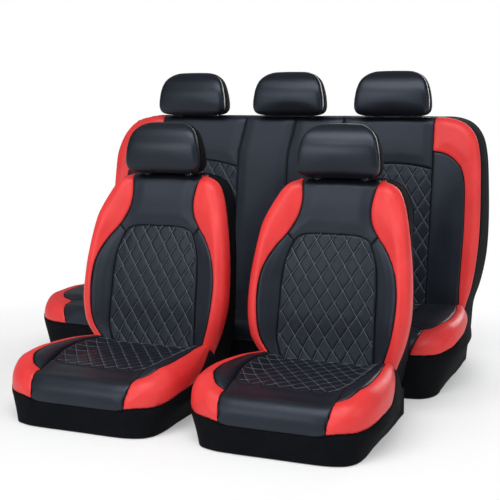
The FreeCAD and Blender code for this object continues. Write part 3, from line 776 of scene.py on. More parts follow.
def seam_cords(name, form, seams, count, place, body, edges=()):
    """Cords at the bottom of the grooves of some seams, and along bare edges."""
    lines = []
    for seam in seams:
        line = on_form(form, spaced(seam, count))
        lines.append(line - CORD_DEPTH * unit_out(form, line, seam))
    lines += [edge - np.array([0, CORD_RADIUS, 0]) for edge in edges]
    return tubes(name, lines, CORD_RADIUS, SEAM, body, place)


def quilt_thread(name, form, quads, diamonds, pitch, radius, length, place, body):
    """The stitches of one or more quilted panels."""
    runs = []
    for quad in quads:
        runs += quilt_runs(form, quad, *diamonds, pitch, THREAD_LIFT)
    return stitches(name, runs, radius, length, THREAD_WITH_HIGHLIGHT, body, place)


print("shared parts ready")


# %% [markdown]
# ## Front backs
# A front back is a tapered pad that leans. The middle is hollowed to hold the sitter, and a
# bolster stands proud down each side. Below the crease the face follows the barrel round the
# recliner pivot, so it turns without rubbing the cushion.

# %% The front back's form
FRONT_BITE_Z, PIVOT_Z, BARREL = 158, 128, 79
SLOPE = LEANS["driver"]
LEAN = math.atan(SLOPE)
PIVOT_Y = (BARREL - (FRONT_BITE_Z - PIVOT_Z) * math.sin(LEAN)) / math.cos(LEAN)


def front_plane(z):
    below = PIVOT_Z + BARREL * math.sin(LEAN)
    round_part = PIVOT_Y - np.sqrt(np.clip(BARREL**2 - (np.minimum(z, below) - PIVOT_Z)**2,
                                           0, None))
    return np.where(z > below, SLOPE * (z - FRONT_BITE_Z), round_part)


def front_face(x, z):
    """Hollow of the middle (positive), crest of the bolsters and lumbar swell (negative)."""
    wide = np.interp(z, [100, 155, 225, 300, 380, 500, 600, 650, 697],
                     [200, 210, 240, 256, 262, 248, 222, 200, 170])
    across = np.abs(x) / wide
    hollow = 14 * (1 - smooth(0.42, 0.80, across))
    crest = -20 * np.exp(-((across - 0.90) / 0.16) ** 2)
    shoulders = 1 - 0.8 * smooth(480, 640, z)
    swell_out = -12 * smooth(150, 300, z) * (1 - smooth(380, 600, z))
    return (hollow + crest) * shoulders * (0.3 + 0.7 * smooth(120, 260, z)) + swell_out


def front_strip(foot, way):
    """Depth of the fabric strip behind the rolled edge."""
    side = np.interp(foot[:, 1], [78, 262, 417, 508, 600, 650],
                     [140, 128, 110, 86, 74, 66])
    return side * (1 - 0.15 * np.clip(way[:, 1], 0, 1))


def front_taper(foot, way):
    """The rear shell is narrower than the bolsters, so the strip runs inwards."""
    return np.clip(np.abs(foot[:, 0]) + 42 - 211, 0, None) * np.abs(way[:, 0]) ** 0.7


FRONT_BACK = {
    "rim": make_rim([(138, 60), (150, 90), (167, 150), (190, 220), (202, 290), (201, 370),
                     (195, 440), (186, 505), (174, 570), (162, 618), (147, 650), (120, 662),
                     (60, 666), (0, 667)]),
    "roll": 42, "run": 60, "drop": 35, "top_less": 11, "plane": front_plane,
    "face": front_face, "wrap": wrap_back, "core": np.array([0, 90, 380]),
    "strip": front_strip, "taper": front_taper,
    "ease": lambda x, y, z: 27 * smooth(-230, 230, -x) * smooth(120, 220, z)
    * (1 - smooth(540, 690, z)),
}
print("front back form, pivot at y", round(PIVOT_Y, 1))

# %% [markdown]
# The seams of the front back are drawn once for its right side and mirrored. The red seam swells
# out at the waist and runs in under the headrest.

# %% Seams of the front back
LOW, TIP, QUILT_TOP = 104, 727, 505
red_seam = curve([(162, LOW), (175, 160), (194, 228), (204, 300), (205, 370), (193, 430),
                  (165, 486), (133, 528)])
red_upper = curve([(133, 528), (122, 545), (110, 575), (106, 608), (110, 645), (119, 682),
                   (129, TIP)], 60)
quilt_side = curve([(146, LOW), (143, 200), (141, 300), (139, 390), (131, 453), (113, QUILT_TOP)])
arch = chain(curve([(-113, QUILT_TOP), (-104, 516), (-84, 526), (-55, 530)], 20),
             curve([(55, 530), (84, 526), (104, 516), (113, QUILT_TOP)], 20))
print("quilt arch of", len(arch), "points")

# %% [markdown]
# The back's cover is nine panels: the quilt, two smooth inserts, the yoke under the headrest,
# two red side panels, the fabric strip round the edge, the rear panel and its map pocket. Each
# quad below lists bottom, top, left and right lines.

# %% Panels of a front back
tip_out = rim_place(FRONT_BACK, (139, TIP))
low_out = rim_place(FRONT_BACK, (225, LOW))
red_outer = rim_line(FRONT_BACK, low_out, tip_out, FRONT_BACK["run"])
red_full = chain(red_seam, red_upper[1:])
BACK_QUADS = {
    "quilt": ([(-146, LOW), (146, LOW)], arch, mirror(quilt_side), quilt_side),
    "insert": ([(146, LOW), (162, LOW)], [(113, QUILT_TOP), (133, 528)], quilt_side, red_seam),
    "red": ([(162, LOW), red_outer[0]], [(129, TIP), red_outer[-1]], red_full, red_outer),
    "yoke": (chain([(-133, 528)], arch, [(133, 528)]), [(-129, TIP), (129, TIP)],
             mirror(red_upper), red_upper),
}
BACK_DIAMOND = (44.5, 73)
BACK_RUN = (0.012, 0.988)


def dress_front_back(tag):
    place, body, form = PLACES[tag], tag + "_back", FRONT_BACK
    for part, quad in BACK_QUADS.items():
        for side, sides in both_sides(quad, part in ("insert", "red")):
            cover_panel(f"{body}_{part}{side}", part, form, sides, (1.9, 4), BACK_DIAMOND,
                        (0.35, 31, len(side)), 5, place, body)
    strip = side_strip(body + "_strip", form, BACK_RUN, 7, (0.4, 40, 3), place, body)
    edge = rear_edge(form, *BACK_RUN, front_strip)
    corner = np.argmax(edge[:, 0] * -0.7 + edge[:, 2])
    far = len(edge) - 1 - corner
    rear = rear_panel(body + "_rear", edge[:corner + 1], edge[corner:far + 1], edge[far:][::-1],
                      spaced([edge[0], edge[-1]], 60), form, place, body, 6)
    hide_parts(body + "_cover")
    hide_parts(body + "_rear_panel")
    seams = [red_full, mirror(red_full), quilt_side, mirror(quilt_side), arch,
             chain([(113, QUILT_TOP)], [(133, 528)]), chain([(-113, QUILT_TOP)], [(-133, 528)]),
             rim_line(form, *BACK_RUN, form["run"], 300)]
    seam_cords(body + "_seams", form, seams, 120, place, body, [edge])
    quilt_thread(body + "_quilt_thread", form, [BACK_QUADS["quilt"]], BACK_DIAMOND, 5.4, 0.8,
                 4.8, place, body)


for tag in ("driver", "passenger"):
    dress_front_back(tag)


# %% [markdown]
# ## Front cushions
# The cushion sinks in the middle, rises to a bolster each side and rolls over at the front. The
# red panels run along the bolsters and round the front corners. A pointed black insert lies
# between the red and the quilt. The skirt hangs from the lowest seam and narrows to the floor.

# %% The front cushion's form
CUSHION_FRONT = -424


def cushion_face(x, y):
    rise = smooth(120, 208, np.abs(x))
    along = np.interp(y, [-420, -360, -250, -120, -20, 60], [0.30, 0.85, 1, 0.9, 0.6, 0.2])
    crown = 158 + 30 * rise * along
    crown = crown - 9 * smooth(-340, CUSHION_FRONT, y) - 8 * smooth(-30, 0, y)
    return crown - 30 * smooth(0, 60, y)


def cushion_taper(foot, way):
    return np.clip(np.abs(foot[:, 0]) + 48 - 226, 0, None) * np.abs(way[:, 0]) ** 0.7


FRONT_CUSHION = {
    "rim": make_rim([(176, 62), (180, 20), (193, -50), (209, -130), (221, -220), (224, -300),
                     (215, -358), (191, -401), (155, -419), (105, -423), (0, CUSHION_FRONT)]),
    "roll": 48, "run": 110, "edge_z": 80, "face": cushion_face, "taper": cushion_taper,
    "wrap": wrap_cushion, "core": np.array([0, -230, 60]),
    "ease": lambda x, y, z: 16 * smooth(185, 270, -x),
}
print("front cushion rim of", len(FRONT_CUSHION["rim"]["points"]), "points")

# %% [markdown]
# The cushion's seams meet at one point on each front corner. From there the bolster seam runs
# back along the crest, the quilt's edge runs inside it, and the lap seam goes down the roll.

# %% Seams and patterns of the front cushion
BITE = -8
JOIN = (157, -404)
lap_seam = curve([(157, CUSHION_FRONT - 104), (161, -468), JOIN], 40)
quilt_edge = curve([JOIN, (158, -338)], 16)
quilt_flank = curve([(158, -338), (176, -235), (180, -120), (168, BITE)], 60)
bolster_seam = curve([JOIN, (190, -390), (213, -346), (221, -290), (218, -215), (206, -120),
                      (192, -45), (185, BITE)], 90)
quilt_front = curve([(-158, -338), (0, -344), (158, -338)], 60)


def lap_drop(foot, way):
    """Where the red panel ends on the roll: low at the front, higher towards the back."""
    side = np.interp(foot[:, 1], [-400, -330, -250, -150, -60, 0],
                     [104, 90, 86, 66, 46, 34])
    front = smooth(0.5, 0.95, -way[:, 1])
    low = 114 - 10 * smooth(120, 170, np.abs(foot[:, 0]))
    return side * (1 - front) + low * front


def hang_from(lap):
    """The skirt's upper line: the red panel's edge, then level behind the crease."""
    def skirt_line(foot, way):
        behind = smooth(-12, 6, foot[:, 1])
        return lap(foot, way) * (1 - behind) + 104 * behind
    return skirt_line


form = FRONT_CUSHION
low_front = rim_place(form, (157, CUSHION_FRONT - 60))
rear_end = rim_place(form, (230, BITE))
red_rim = rim_line(form, low_front, rear_end, lap_drop)
lap_seam[0] = red_rim[0]
CUSHION_QUADS = [
    ("quilt", (quilt_front, [(-168, BITE), (168, BITE)], mirror(quilt_flank), quilt_flank),
     False),
    ("front", (rim_line(form, 1 - low_front, low_front, lap_drop), quilt_front,
               chain(mirror(lap_seam), mirror(quilt_edge)[1:]),
               chain(lap_seam, quilt_edge[1:])), False),
    ("insert", ([JOIN, (JOIN[0] + 3, JOIN[1] + 1)], [(168, BITE), (185, BITE)],
                chain(quilt_edge, quilt_flank[1:]), bolster_seam), True),
    ("red", (lap_seam[::-1], [(185, BITE), red_rim[-1]], bolster_seam, red_rim), True),
]
print("front cushion patterns", len(CUSHION_QUADS))

# %% [markdown]
# A cushion cover is four or five kinds of panel and a skirt. The skirt is one long sheet that
# hangs from the lowest seam, so it stays loose at its other three edges.

# %% Dress a cushion


CUSHION_DIAMOND = (44, 62)
SKIRT_RUN = (0.004, 0.996)


def dress_cushion(tag, form, quads, quilt_step, seams, skirt_line):
    """Cover and skirt of a cushion; quads hold (part, quad, whether it has a mirror twin)."""
    place, body, name = PLACES[tag], "seat_bases", tag + "_cushion"
    for part, quad, paired in quads:
        for side, sides in both_sides(quad, paired):
            piece = cover_panel(f"{name}_{part}{side}", part, form, sides, (quilt_step, 5),
                                CUSHION_DIAMOND, (0.4, 33, len(side)), 5, place, body)
            if part == "front":
                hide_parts(name + "_cover")
    near = rim_line(form, *SKIRT_RUN, skirt_line, 360)
    far = rim_line(form, *SKIRT_RUN, form["run"] + form["edge_z"] - 2.0, 360)
    v = np.linspace(0, 1, 21)[:, None, None]
    grid = (near[None] * (1 - v) + far[None] * v)[::-1]
    skirt = panel(f"{tag}_skirt_cloth", form, grid, FABRIC, body, wrinkle(0.8, 46, 5), 1.5,
                  wall=CLOTH_WALL, place=place, open_sides="blr", held="hung")
    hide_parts(tag + "_skirt")
    seam_cords(name + "_seams", form, seams, 140, place, body)
    quilts = [sides for part, quad, paired in quads if part == "quilt"
              for _, sides in both_sides(quad, paired)]
    quilt_thread(name + "_quilt_thread", form, quilts, CUSHION_DIAMOND, 5.6, 0.75, 4.8, place,
                 body)


red_both = [bolster_seam, chain(quilt_edge, quilt_flank[1:]), lap_seam, red_rim]
cushion_seams = red_both + [mirror(line) for line in red_both] + [
    quilt_front, rim_line(form, 1 - low_front, low_front, lap_drop)]
for tag in ("driver", "passenger"):
    dress_cushion(tag, FRONT_CUSHION, CUSHION_QUADS, 2.6, cushion_seams,
                  hang_from(lap_drop))


# %% [markdown]
# ## The rear bench
# The bench back is one broad pad cut in two at a zip, 60 to 40, so that each part folds on its
# own. Both parts use one rim, and the cut is simply where their panels stop.

# %% The bench back's form
REAR_BITE_Z, SPLIT = 209, 204
REAR_SLOPE = LEANS["rear"]
REAR_DEEP, BENCH_DROP = 180, 24


def bench_plane(z):
    return REAR_SLOPE * (z - REAR_BITE_Z)


def bench_face(x, z):
    places = np.exp(-((np.abs(x) - 380) / 150) ** 2)
    return 9 * places * smooth(150, 260, z) * (1 - smooth(640, 800, z))


def bench_strip(foot, way):
    """Depth of the fabric strip, down to the flat rear of the bench back."""
    return REAR_DEEP - bench_plane(foot[:, 1] + 30 * way[:, 1]) - BENCH_DROP


def bench_shell_taper(foot, way):
    return -9 * np.abs(way[:, 0]) ** 0.7 * smooth(200, 400, foot[:, 1])


BENCH_BACK = {
    "rim": make_rim([(640, 60), (643, 120), (649, 200), (669, 280), (682, 385), (686, 473),
                     (683, 610), (674, 740), (660, 795), (637, 826), (600, 842), (520, 846),
                     (0, 846)], 260),
    "roll": 38, "run": 50, "drop": BENCH_DROP, "top_less": 10, "plane": bench_plane,
    "face": bench_face, "wrap": wrap_back, "core": np.array([0, 100, 500]),
    "strip": bench_strip, "taper": bench_shell_taper,
    "ease": lambda x, y, z: 44 * smooth(545, 720, -x) * (1 - 0.5 * smooth(700, 860, z)),
}
print("bench rim of", len(BENCH_BACK["rim"]["points"]), "points")

# %% [markdown]
# Each outer place has a quilt under an arch, a smooth insert inside a hooked seam, a yoke, and
# the red panel that turns the corner. The zips lean towards the middle place near the top.

# %% Seams and patterns of the bench back
form = BENCH_BACK
BENCH_LOW, BENCH_TOP = 150, 896
SEAM_X = 545
hook_seam = curve([(663, BENCH_LOW), (667, 352), (670, 450), (669, 554),
                   (662, 655), (648, 698)])
hook_top = curve([(SEAM_X, 752), (587, 745), (620, 726), (648, 698)], 40)
quilt_arch = curve([(212, 678), (300, 697), (400, 705), (480, 700), (SEAM_X, 688)], 60)
corner_out = rim_place(form, (SEAM_X, BENCH_TOP))
bench_low = rim_place(form, (690, BENCH_LOW))
bench_rim = rim_line(form, bench_low, corner_out, form["run"], 260)
WIDE_EDGE, NARROW_EDGE = SPLIT - 0.5, SPLIT + 0.5
LEAN_OF_ZIP = 14


def zip_at(x, z, sway=LEAN_OF_ZIP):
    """Points of a zip seam: it leans a little towards the middle place near the top."""
    return np.stack([x + sway * (2 * smooth(700, 880, z) - 1), z], 1)


def zip_line(x, low, high, sway=LEAN_OF_ZIP):
    return zip_at(x, np.linspace(low, high, 50), sway)


def place_quads(inner, sway):
    """Panels of one outer place, for the right side; inner is where the part ends."""
    lower, upper = zip_line(inner, BENCH_LOW, 677, sway), zip_line(inner, 677, BENCH_TOP, sway)
    arch_line = chain(lower[-1:], quilt_arch[1:])
    return {
        "quilt": ([lower[0], (SEAM_X, BENCH_LOW)], arch_line, lower,
                  [(SEAM_X, BENCH_LOW), (SEAM_X, 688)]),
        "yoke": (arch_line, [upper[-1], (SEAM_X, BENCH_TOP)], upper,
                 [(SEAM_X, 688), (SEAM_X, BENCH_TOP)]),
        "insert": ([(SEAM_X, BENCH_LOW), (663, BENCH_LOW)], hook_top,
                   [(SEAM_X, BENCH_LOW), (SEAM_X, 752)], hook_seam),
        "red": ([(663, BENCH_LOW), bench_rim[0]], [(SEAM_X, 752), (SEAM_X, BENCH_TOP)],
                chain(hook_seam, hook_top[::-1][1:]), bench_rim),
    }


print("bench back patterns", list(place_quads(NARROW_EDGE, 0)))

# %% [markdown]
# A flat fabric face closes each part along the cut, so that folding one of them shows cloth and
# not an open shell.

# %% Cut face
def side_wall(name, x, form, place, body):
    """The cut face of a bench part, which shows when the parts fold one by one."""
    z = np.linspace(102, 868, 90)[:, None]
    u = np.linspace(0, 1, 24)[None, :]
    front = bench_plane(z) + 4 + 20 * smooth(846, 868, z)
    y = front + (REAR_DEEP - 3 - front) * u
    shape = np.stack([np.full_like(y, x), y, z + 0 * u], 2)
    core = np.array([x - 200 * np.sign(x - SPLIT), 100, 500])
    panel(name, {**form, "core": core}, shape[..., (1, 2)], FABRIC, body, puff=0,
          wall=CLOTH_WALL, place=place, shape=shape, held="stretched")


print("cut faces lie at x", WIDE_EDGE, "and", NARROW_EDGE, "mm")

# %% [markdown]
# One function dresses either part. The wide part is the mirrored side and also holds the middle
# place, with a smooth panel each side of the zip.

# %% Panels of the bench back
BENCH_DIAMOND = (50, 78)


def dress_bench_back(tag, wide):
    """Cover of the wide part, which is mirrored, or of the narrow part."""
    place, form = PLACES["rear"], BENCH_BACK
    inner, cut_edge = (SPLIT, WIDE_EDGE) if wide else (NARROW_EDGE, NARROW_EDGE)
    quads = place_quads(inner, -LEAN_OF_ZIP if wide else 0)
    for part, quad in quads.items():
        piece = cover_panel(f"{tag}_{part}", part, form, mirror_quad(quad) if wide else quad,
                            (3.0, 6), BENCH_DIAMOND, (0.5, 47, 2), 6, place, tag)
        if part == "insert":
            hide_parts(tag + "_cover")
    if wide:
        first, second = (zip_line(x, BENCH_LOW, BENCH_TOP) for x in (-SPLIT, 0))
        third = zip_line(WIDE_EDGE, BENCH_LOW, BENCH_TOP, 0)
        for label, near, far in (("middle_right", first, second), ("middle_left", second, third)):
            quad = ([near[0], far[0]], [near[-1], far[-1]], near, far)
            panel(f"{tag}_{label}", form, patch(*quad, 7), BLACK, tag, wrinkle(0.5, 47, 4), 4,
                  place=place)
    cut_place = rim_place(form, (cut_edge, BENCH_TOP))
    run = (BACK_RUN[0], cut_place) if wide else (cut_place, BACK_RUN[1])
    side_strip(tag + "_strip", form, run, 8, (0.5, 50, 1), place, tag)
    edge = rear_edge(form, *run, bench_strip)
    foot = (cut_edge, REAR_DEEP, 95)
    out = edge[:, 0] * (-1 if wide else 1)
    corner = int(np.argmax(edge[:, 2] + 0.8 * out * (out > 500)))
    if wide:
        left, top = edge[:corner + 1], edge[corner:]
        right = spaced([foot, edge[-1]], 100)
        bottom = spaced([edge[0], right[0]], 60)
    else:
        right, top = edge[corner:][::-1], edge[:corner + 1]
        left = spaced([foot, edge[0]], 100)
        bottom = spaced([left[0], edge[-1]], 60)
    rear = rear_panel(tag + "_rear", left, top, right, bottom, form, place, tag, 4)
    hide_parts(tag + "_rear_panel")
    side_wall(tag + "_cut_face", cut_edge, form, place, tag)
    seams = [quads["quilt"][1], chain(hook_seam, hook_top[::-1][1:]), bench_rim,
             [(SEAM_X, BENCH_LOW), (SEAM_X, BENCH_TOP)]]
    seams = [mirror(line) for line in seams] if wide else seams
    seams.append(rim_line(form, *run, form["run"], 300))
    seam_cords(tag + "_seams", form, seams, 200, place, tag, [edge])
    quilt = mirror_quad(quads["quilt"]) if wide else quads["quilt"]
    quilt_thread(tag + "_quilt_thread", form, [quilt], BENCH_DIAMOND, 6.4, 0.75, 5.4, place,
                 tag)


dress_bench_back("rear_back_wide", True)
dress_bench_back("rear_back_narrow", False)


# %% [markdown]
# ## The bench cushion
# One long pad for three places. Its ends repeat the front cushions: red round the corner, a
# pointed insert, and the roll at the front. Two quilts mark the outer places.

# %% The bench cushion's form
def bench_top(x, y):
    ends = smooth(560, 690, np.abs(x))
    crown = 210 + 17 * ends * np.interp(y, [-470, -400, -250, -60, 60], [0.2, 0.8, 1, 0.6, 0])
    crown = crown - 10 * smooth(-380, -480, y) - 8 * smooth(-30, 0, y)
    return crown - 90 * smooth(5, 60, y)


def bench_taper(foot, way):
    return np.clip(np.abs(foot[:, 0]) + 50 - 688, 0, None) * np.abs(way[:, 0]) ** 0.7


BENCH_CUSHION = {
    "rim": make_rim([(646, 60), (656, 15), (672, -60), (694, -160), (706, -260), (706, -350),
                     (694, -415), (664, -460), (620, -478), (560, -482), (0, -484)], 260),
    "roll": 50, "run": 105, "edge_z": 140, "face": bench_top, "taper": bench_taper,
    "wrap": wrap_cushion, "core": np.array([0, -260, 60]),
    "ease": lambda x, y, z: 46 * smooth(545, 740, -x),
}
print("bench cushion rim of", len(BENCH_CUSHION["rim"]["points"]), "points")

# %% [markdown]
# Its seams are drawn for one end and mirrored. The middle panel and the front roll run across.

# %% Seams and panels of the bench cushion
form = BENCH_CUSHION
BENCH_JOIN = (640, -440)


def bench_lap(foot, way):
    side = np.interp(foot[:, 1], [-460, -380, -250, -120, -40, 0], [100, 78, 62, 52, 42, 34])
    front = smooth(0.5, 0.95, -way[:, 1])
    return side * (1 - front) + 104 * front


low_front = rim_place(form, (626, -560))
rear_end = rim_place(form, (720, BITE))
end_rim = rim_line(form, low_front, rear_end, bench_lap)
end_lap = curve([end_rim[0], (640, -510), BENCH_JOIN], 40)
end_seam = curve([BENCH_JOIN, (670, -425), (692, -380), (700, -310), (697, -220), (684, -120),
                  (668, -45), (662, BITE)], 90)
mid_line = curve([BENCH_JOIN, (590, -400), (560, -370)], 20)
inner_end = curve([(560, -370), (548, -200), (545, BITE)], 40)
front_line = curve([(-560, -370), (0, -378), (560, -370)], 90)
back_edge = [(-545, BITE), (545, BITE)]
front_rim = rim_line(form, 1 - low_front, low_front, bench_lap, 300)
BENCH_QUADS = [
    ("quilt", (spaced([(225, -374), (560, -370)], 60), [(225, BITE), (545, BITE)],
               [(225, -374), (225, BITE)], inner_end), True),
    ("middle", (spaced([(-225, -374), (0, -377), (225, -374)], 40), [(-225, BITE), (225, BITE)],
                [(-225, -374), (-225, BITE)], [(225, -374), (225, BITE)]), False),
    ("front", (front_rim,
               chain([(-560, -370)], [(-225, -374)], [(0, -377)], [(225, -374)], [(560, -370)]),
               chain(mirror(end_lap), mirror(mid_line)[1:]), chain(end_lap, mid_line[1:])),
     False),
    ("insert", ([BENCH_JOIN, (BENCH_JOIN[0] + 3, BENCH_JOIN[1] + 1)],
                [(545, BITE), (662, BITE)], chain(mid_line, inner_end[1:]), end_seam), True),
    ("red", (end_lap[::-1], [(662, BITE), end_rim[-1]], end_seam, end_rim), True),
]
end_seams = [end_seam, chain(mid_line, inner_end[1:]), end_lap, end_rim,
             [(225, -374), (225, BITE)]]
dress_cushion("rear", BENCH_CUSHION, BENCH_QUADS, 3.2,
              end_seams + [mirror(line) for line in end_seams]
              + [front_rim, chain([(-560, -370)], [(0, -377)], [(560, -370)])],
              hang_from(bench_lap))


# %% [markdown]
# ## Headrests
# A headrest cover is a small tight pillowcase: a glossy front panel that rolls over the top,
# and a matt fabric wrap behind. Cloth simulation is what gives it the drum-tight swell between
# its seams. One is blown up in place of five, and the others are copies.

# %% The block under a headrest cover
HEAD_W = [(0, .90), (.06, .97), (.14, 1), (.45, .975), (.75, .89), (.88, .80), (.96, .68),
          (1, .55)]
HEAD_FRONT = [(0, .12), (.08, .02), (.16, 0), (.55, .03), (.80, .14), (.93, .27), (1, .42)]
HEAD_BACK = [(0, .90), (.10, .99), (.18, 1), (.55, .92), (.85, .80), (.96, .72), (1, .62)]
HEAD_INSET, HEAD_CROWN = 5, 2


def along(table, at):
    return np.interp(at, [p[0] for p in table], [p[1] for p in table])


def head_block(size):
    """A blunt block with the headrest's front and side views, about its own low corner."""
    wide, deep, tall = (s / MM for s in size)
    bm = bmesh.new()
    bmesh.ops.create_cube(bm, size=2)
    bmesh.ops.subdivide_edges(bm, edges=bm.edges[:], cuts=13, use_grid_fill=True)
    for v in bm.verts:
        a, b, c = v.co
        up = (c + 1) / 2
        x = a * (wide / 2 - HEAD_INSET) * along(HEAD_W, up) * (1 - 0.12 * max(b, 0) ** 2)
        near, far = along(HEAD_FRONT, up), along(HEAD_BACK, up)
        y = HEAD_INSET + (deep - 2 * HEAD_INSET) * (near + (far - near) * (b + 1) / 2)
        z = HEAD_INSET + (tall - 2 * HEAD_INSET) * up + HEAD_CROWN * up * (1 - a * a)
        v.co = Vector((x, y, z)) * MM
    for _ in range(4):
        bmesh.ops.smooth_vert(bm, verts=bm.verts[:], factor=0.5, use_axis_x=True,
                              use_axis_y=True, use_axis_z=True)
    mesh = bpy.data.meshes.new("headrest_block")
    bm.to_mesh(mesh)
    bm.free()
    return mesh


head_low, head_high = (np.array(c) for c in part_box("driver_headrest_cover"))
HEAD_SIZE = head_high - head_low
head_mesh = head_block(HEAD_SIZE)
print("headrest block", np.round(HEAD_SIZE, 3).tolist(), "m")

# %% [markdown]
# The block is remeshed into even squares and blown up as cloth from inside, without gravity. A
# point may move 6 mm at most. The real foam is firm and keeps no fold, so each move is then
# averaged with its neighbours', and only the broad swell is left.

# %% One headrest, blown up as cloth
VOXEL, PRESSURE, MOST_MOVE, EVENING = 0.006, 4.0, 0.006, 40
HEAD_PLUMP, HEAD_DROP = 0.006, 0.003


def applied(obj, name):
    """The mesh that an object's modifiers make now."""
    bpy.context.view_layer.update()
    graph = bpy.context.evaluated_depsgraph_get()
    mesh = bpy.data.meshes.new_from_object(obj.evaluated_get(graph))
    mesh.name = name
    return mesh


def evened(mesh, values, rounds):
    """Values on points, each averaged with its neighbours again and again."""
    ends = np.empty(len(mesh.edges) * 2, dtype=np.int64)
    mesh.edges.foreach_get("vertices", ends)
    a, b = np.concatenate((ends[0::2], ends[1::2])), np.concatenate((ends[1::2], ends[0::2]))
    count = 1 + np.bincount(a, minlength=len(values))
    for _ in range(rounds):
        near = [np.bincount(a, weights=values[b, k], minlength=len(values)) for k in range(3)]
        values = (values + np.stack(near, axis=1)) / count[:, None]
    return values


def blown_up(mesh):
    """Cloth pressure on a closed mesh, each point moving no further than MOST_MOVE."""
    obj = bpy.data.objects.new("blank", mesh)
    bpy.context.scene.collection.objects.link(obj)
    remesh = obj.modifiers.new("remesh", "REMESH")
    remesh.mode = "VOXEL"
    remesh.voxel_size = VOXEL
    obj.data = applied(obj, "blank_even")
    obj.modifiers.clear()
    before = read(obj.data.vertices, "co")
    cloth = obj.modifiers.new("cloth", "CLOTH")
    cloth.settings.use_pressure = True
    cloth.settings.uniform_pressure_force = PRESSURE
    cloth.settings.effector_weights.gravity = 0
    scene = bpy.context.scene
    for step in range(1, 21):
        scene.frame_set(step)
    swollen = applied(obj, "blank_swollen")
    move = read(swollen.vertices, "co") - before
    size = np.linalg.norm(move, axis=1)[:, None]
    move *= np.minimum(1, MOST_MOVE / np.maximum(size, 1e-9))
    move = evened(swollen, move, EVENING)
    swollen.vertices.foreach_set("co", (before + move).ravel())
    obj.modifiers.clear()
    obj.data = swollen
    scene.frame_set(1)
    divide = obj.modifiers.new("fine", "SUBSURF")
    divide.levels = divide.render_levels = 1
    result = applied(obj, "blown")
    bpy.data.objects.remove(obj)
    return result


head_mesh = blown_up(head_mesh)
co = read(head_mesh.vertices, "co")
fill = HEAD_SIZE + (HEAD_PLUMP, 0, HEAD_DROP)
co = (co - co.min(0)) / np.ptp(co, axis=0) * fill - (fill[0] / 2, 0, HEAD_DROP)
head_mesh.vertices.foreach_set("co", co.ravel())
head_mesh.update()
print("headrest", len(head_mesh.vertices), "points")


# %% [markdown]
# Seams come after the swelling. The front panel's seam runs round the form a little behind its
# face; the groove is pressed in by moving points near that line, and the faces behind it take
# the fabric.

# %% Seams and finishes of the headrest
def seam_depth(z):
    """How far behind the block's face the seam runs, as a share of the depth."""
    up = np.clip(z / HEAD_SIZE[2], 0, 1)
    return (along(HEAD_FRONT, up) * 0.8 + 0.30 - 0.06 * up) * HEAD_SIZE[1]


co, no = read(head_mesh.vertices, "co"), read(head_mesh.vertices, "normal")
gap = (co[:, 1] - seam_depth(co[:, 2])) / MM
edge_on = smooth(0.35, 0.75, 1 - np.abs(no[:, 1]))
co -= no * (2.6 * MM * np.exp(-(gap / 3.2) ** 2) * edge_on)[:, None]
head_mesh.vertices.foreach_set("co", co.ravel())
head_mesh.update()
for label in ("driver", "passenger", "rear_left", "rear_centre", "rear_right"):
    body = label + "_headrest"
    low, high = (np.array(c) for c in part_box(body + "_cover"))
    mesh = head_mesh.copy()
    wider, aside = (1.07, -0.007) if label.startswith("rear") else (1, 0)
    move = Matrix.Translation(((low[0] + high[0]) / 2 + aside, low[1], low[2]))
    mesh.transform(move @ Matrix.Diagonal((wider, 1, 1, 1)))
    obj = finish_piece(body + "_pad", mesh, GLOSSY, body)
    mesh.materials.append(FABRIC)
    centres = read(mesh.polygons, "center") - (0, low[1], low[2])
    behind = centres[:, 1] > seam_depth(centres[:, 2])
    mesh.polygons.foreach_set("material_index", behind.astype(int))
    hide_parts(body + "_cover", body + "_foam")
print("five headrests")


# %% [markdown]
# ## Foam, pockets and zips
# Foam is hidden, but it is what the covers are stretched on, so each seat keeps its pads. They
# are closed blocks with softened edges, a few millimetres inside the covers.

# %% Foam pads
def foam_pad(name, form, node, body, place, low, high, gap=0):
    """A closed pad between two heights or depths, inside the form's own rim."""
    bm = bmesh.new()
    bmesh.ops.create_cube(bm, size=2)
    bmesh.ops.subdivide_edges(bm, edges=bm.edges[:], cuts=11, use_grid_fill=True)
    rim = form["rim"]["points"]
    right = rim[rim[:, 0] > 0]
    order = np.argsort(right[:, 1])
    for v in bm.verts:
        a, b, c = v.co
        if form["wrap"] is wrap_back:
            z = low + (high - low) * (c + 1) / 2
            wide = float(np.interp(z, right[order, 1], right[order, 0]))
            lo_x, hi_x = form.get("span", (-wide, wide))
            x = max(lo_x, -wide) + (min(hi_x, wide) - max(lo_x, -wide)) * (a + 1) / 2
            front = float(form["plane"](np.array(z))) + 36
            y = front + (form["rear"](z) - front) * (b + 1) / 2
        else:
            y = low + (high - low) * (b + 1) / 2
            wide = float(np.interp(y, right[order, 1], right[order, 0]))
            x = wide * a
            top = float(form["face"](np.array(x), np.array(y))) - gap
            z = form["floor"] + (top - form["floor"]) * (c + 1) / 2
        v.co = Vector((x, y, z)) * MM + Vector(place)
    for _ in range(2):
        bmesh.ops.smooth_vert(bm, verts=bm.verts[:], factor=0.5, use_axis_x=True,
                              use_axis_y=True, use_axis_z=True)
    mesh = bpy.data.meshes.new(name)
    bm.to_mesh(mesh)
    bm.free()
    obj = finish_piece(name, mesh, FOAM, body)
    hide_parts(node)


def front_rear(z):
    return float(np.interp(z, [200, 640], [145, 160]))


def bench_rear(z):
    return REAR_DEEP - 10


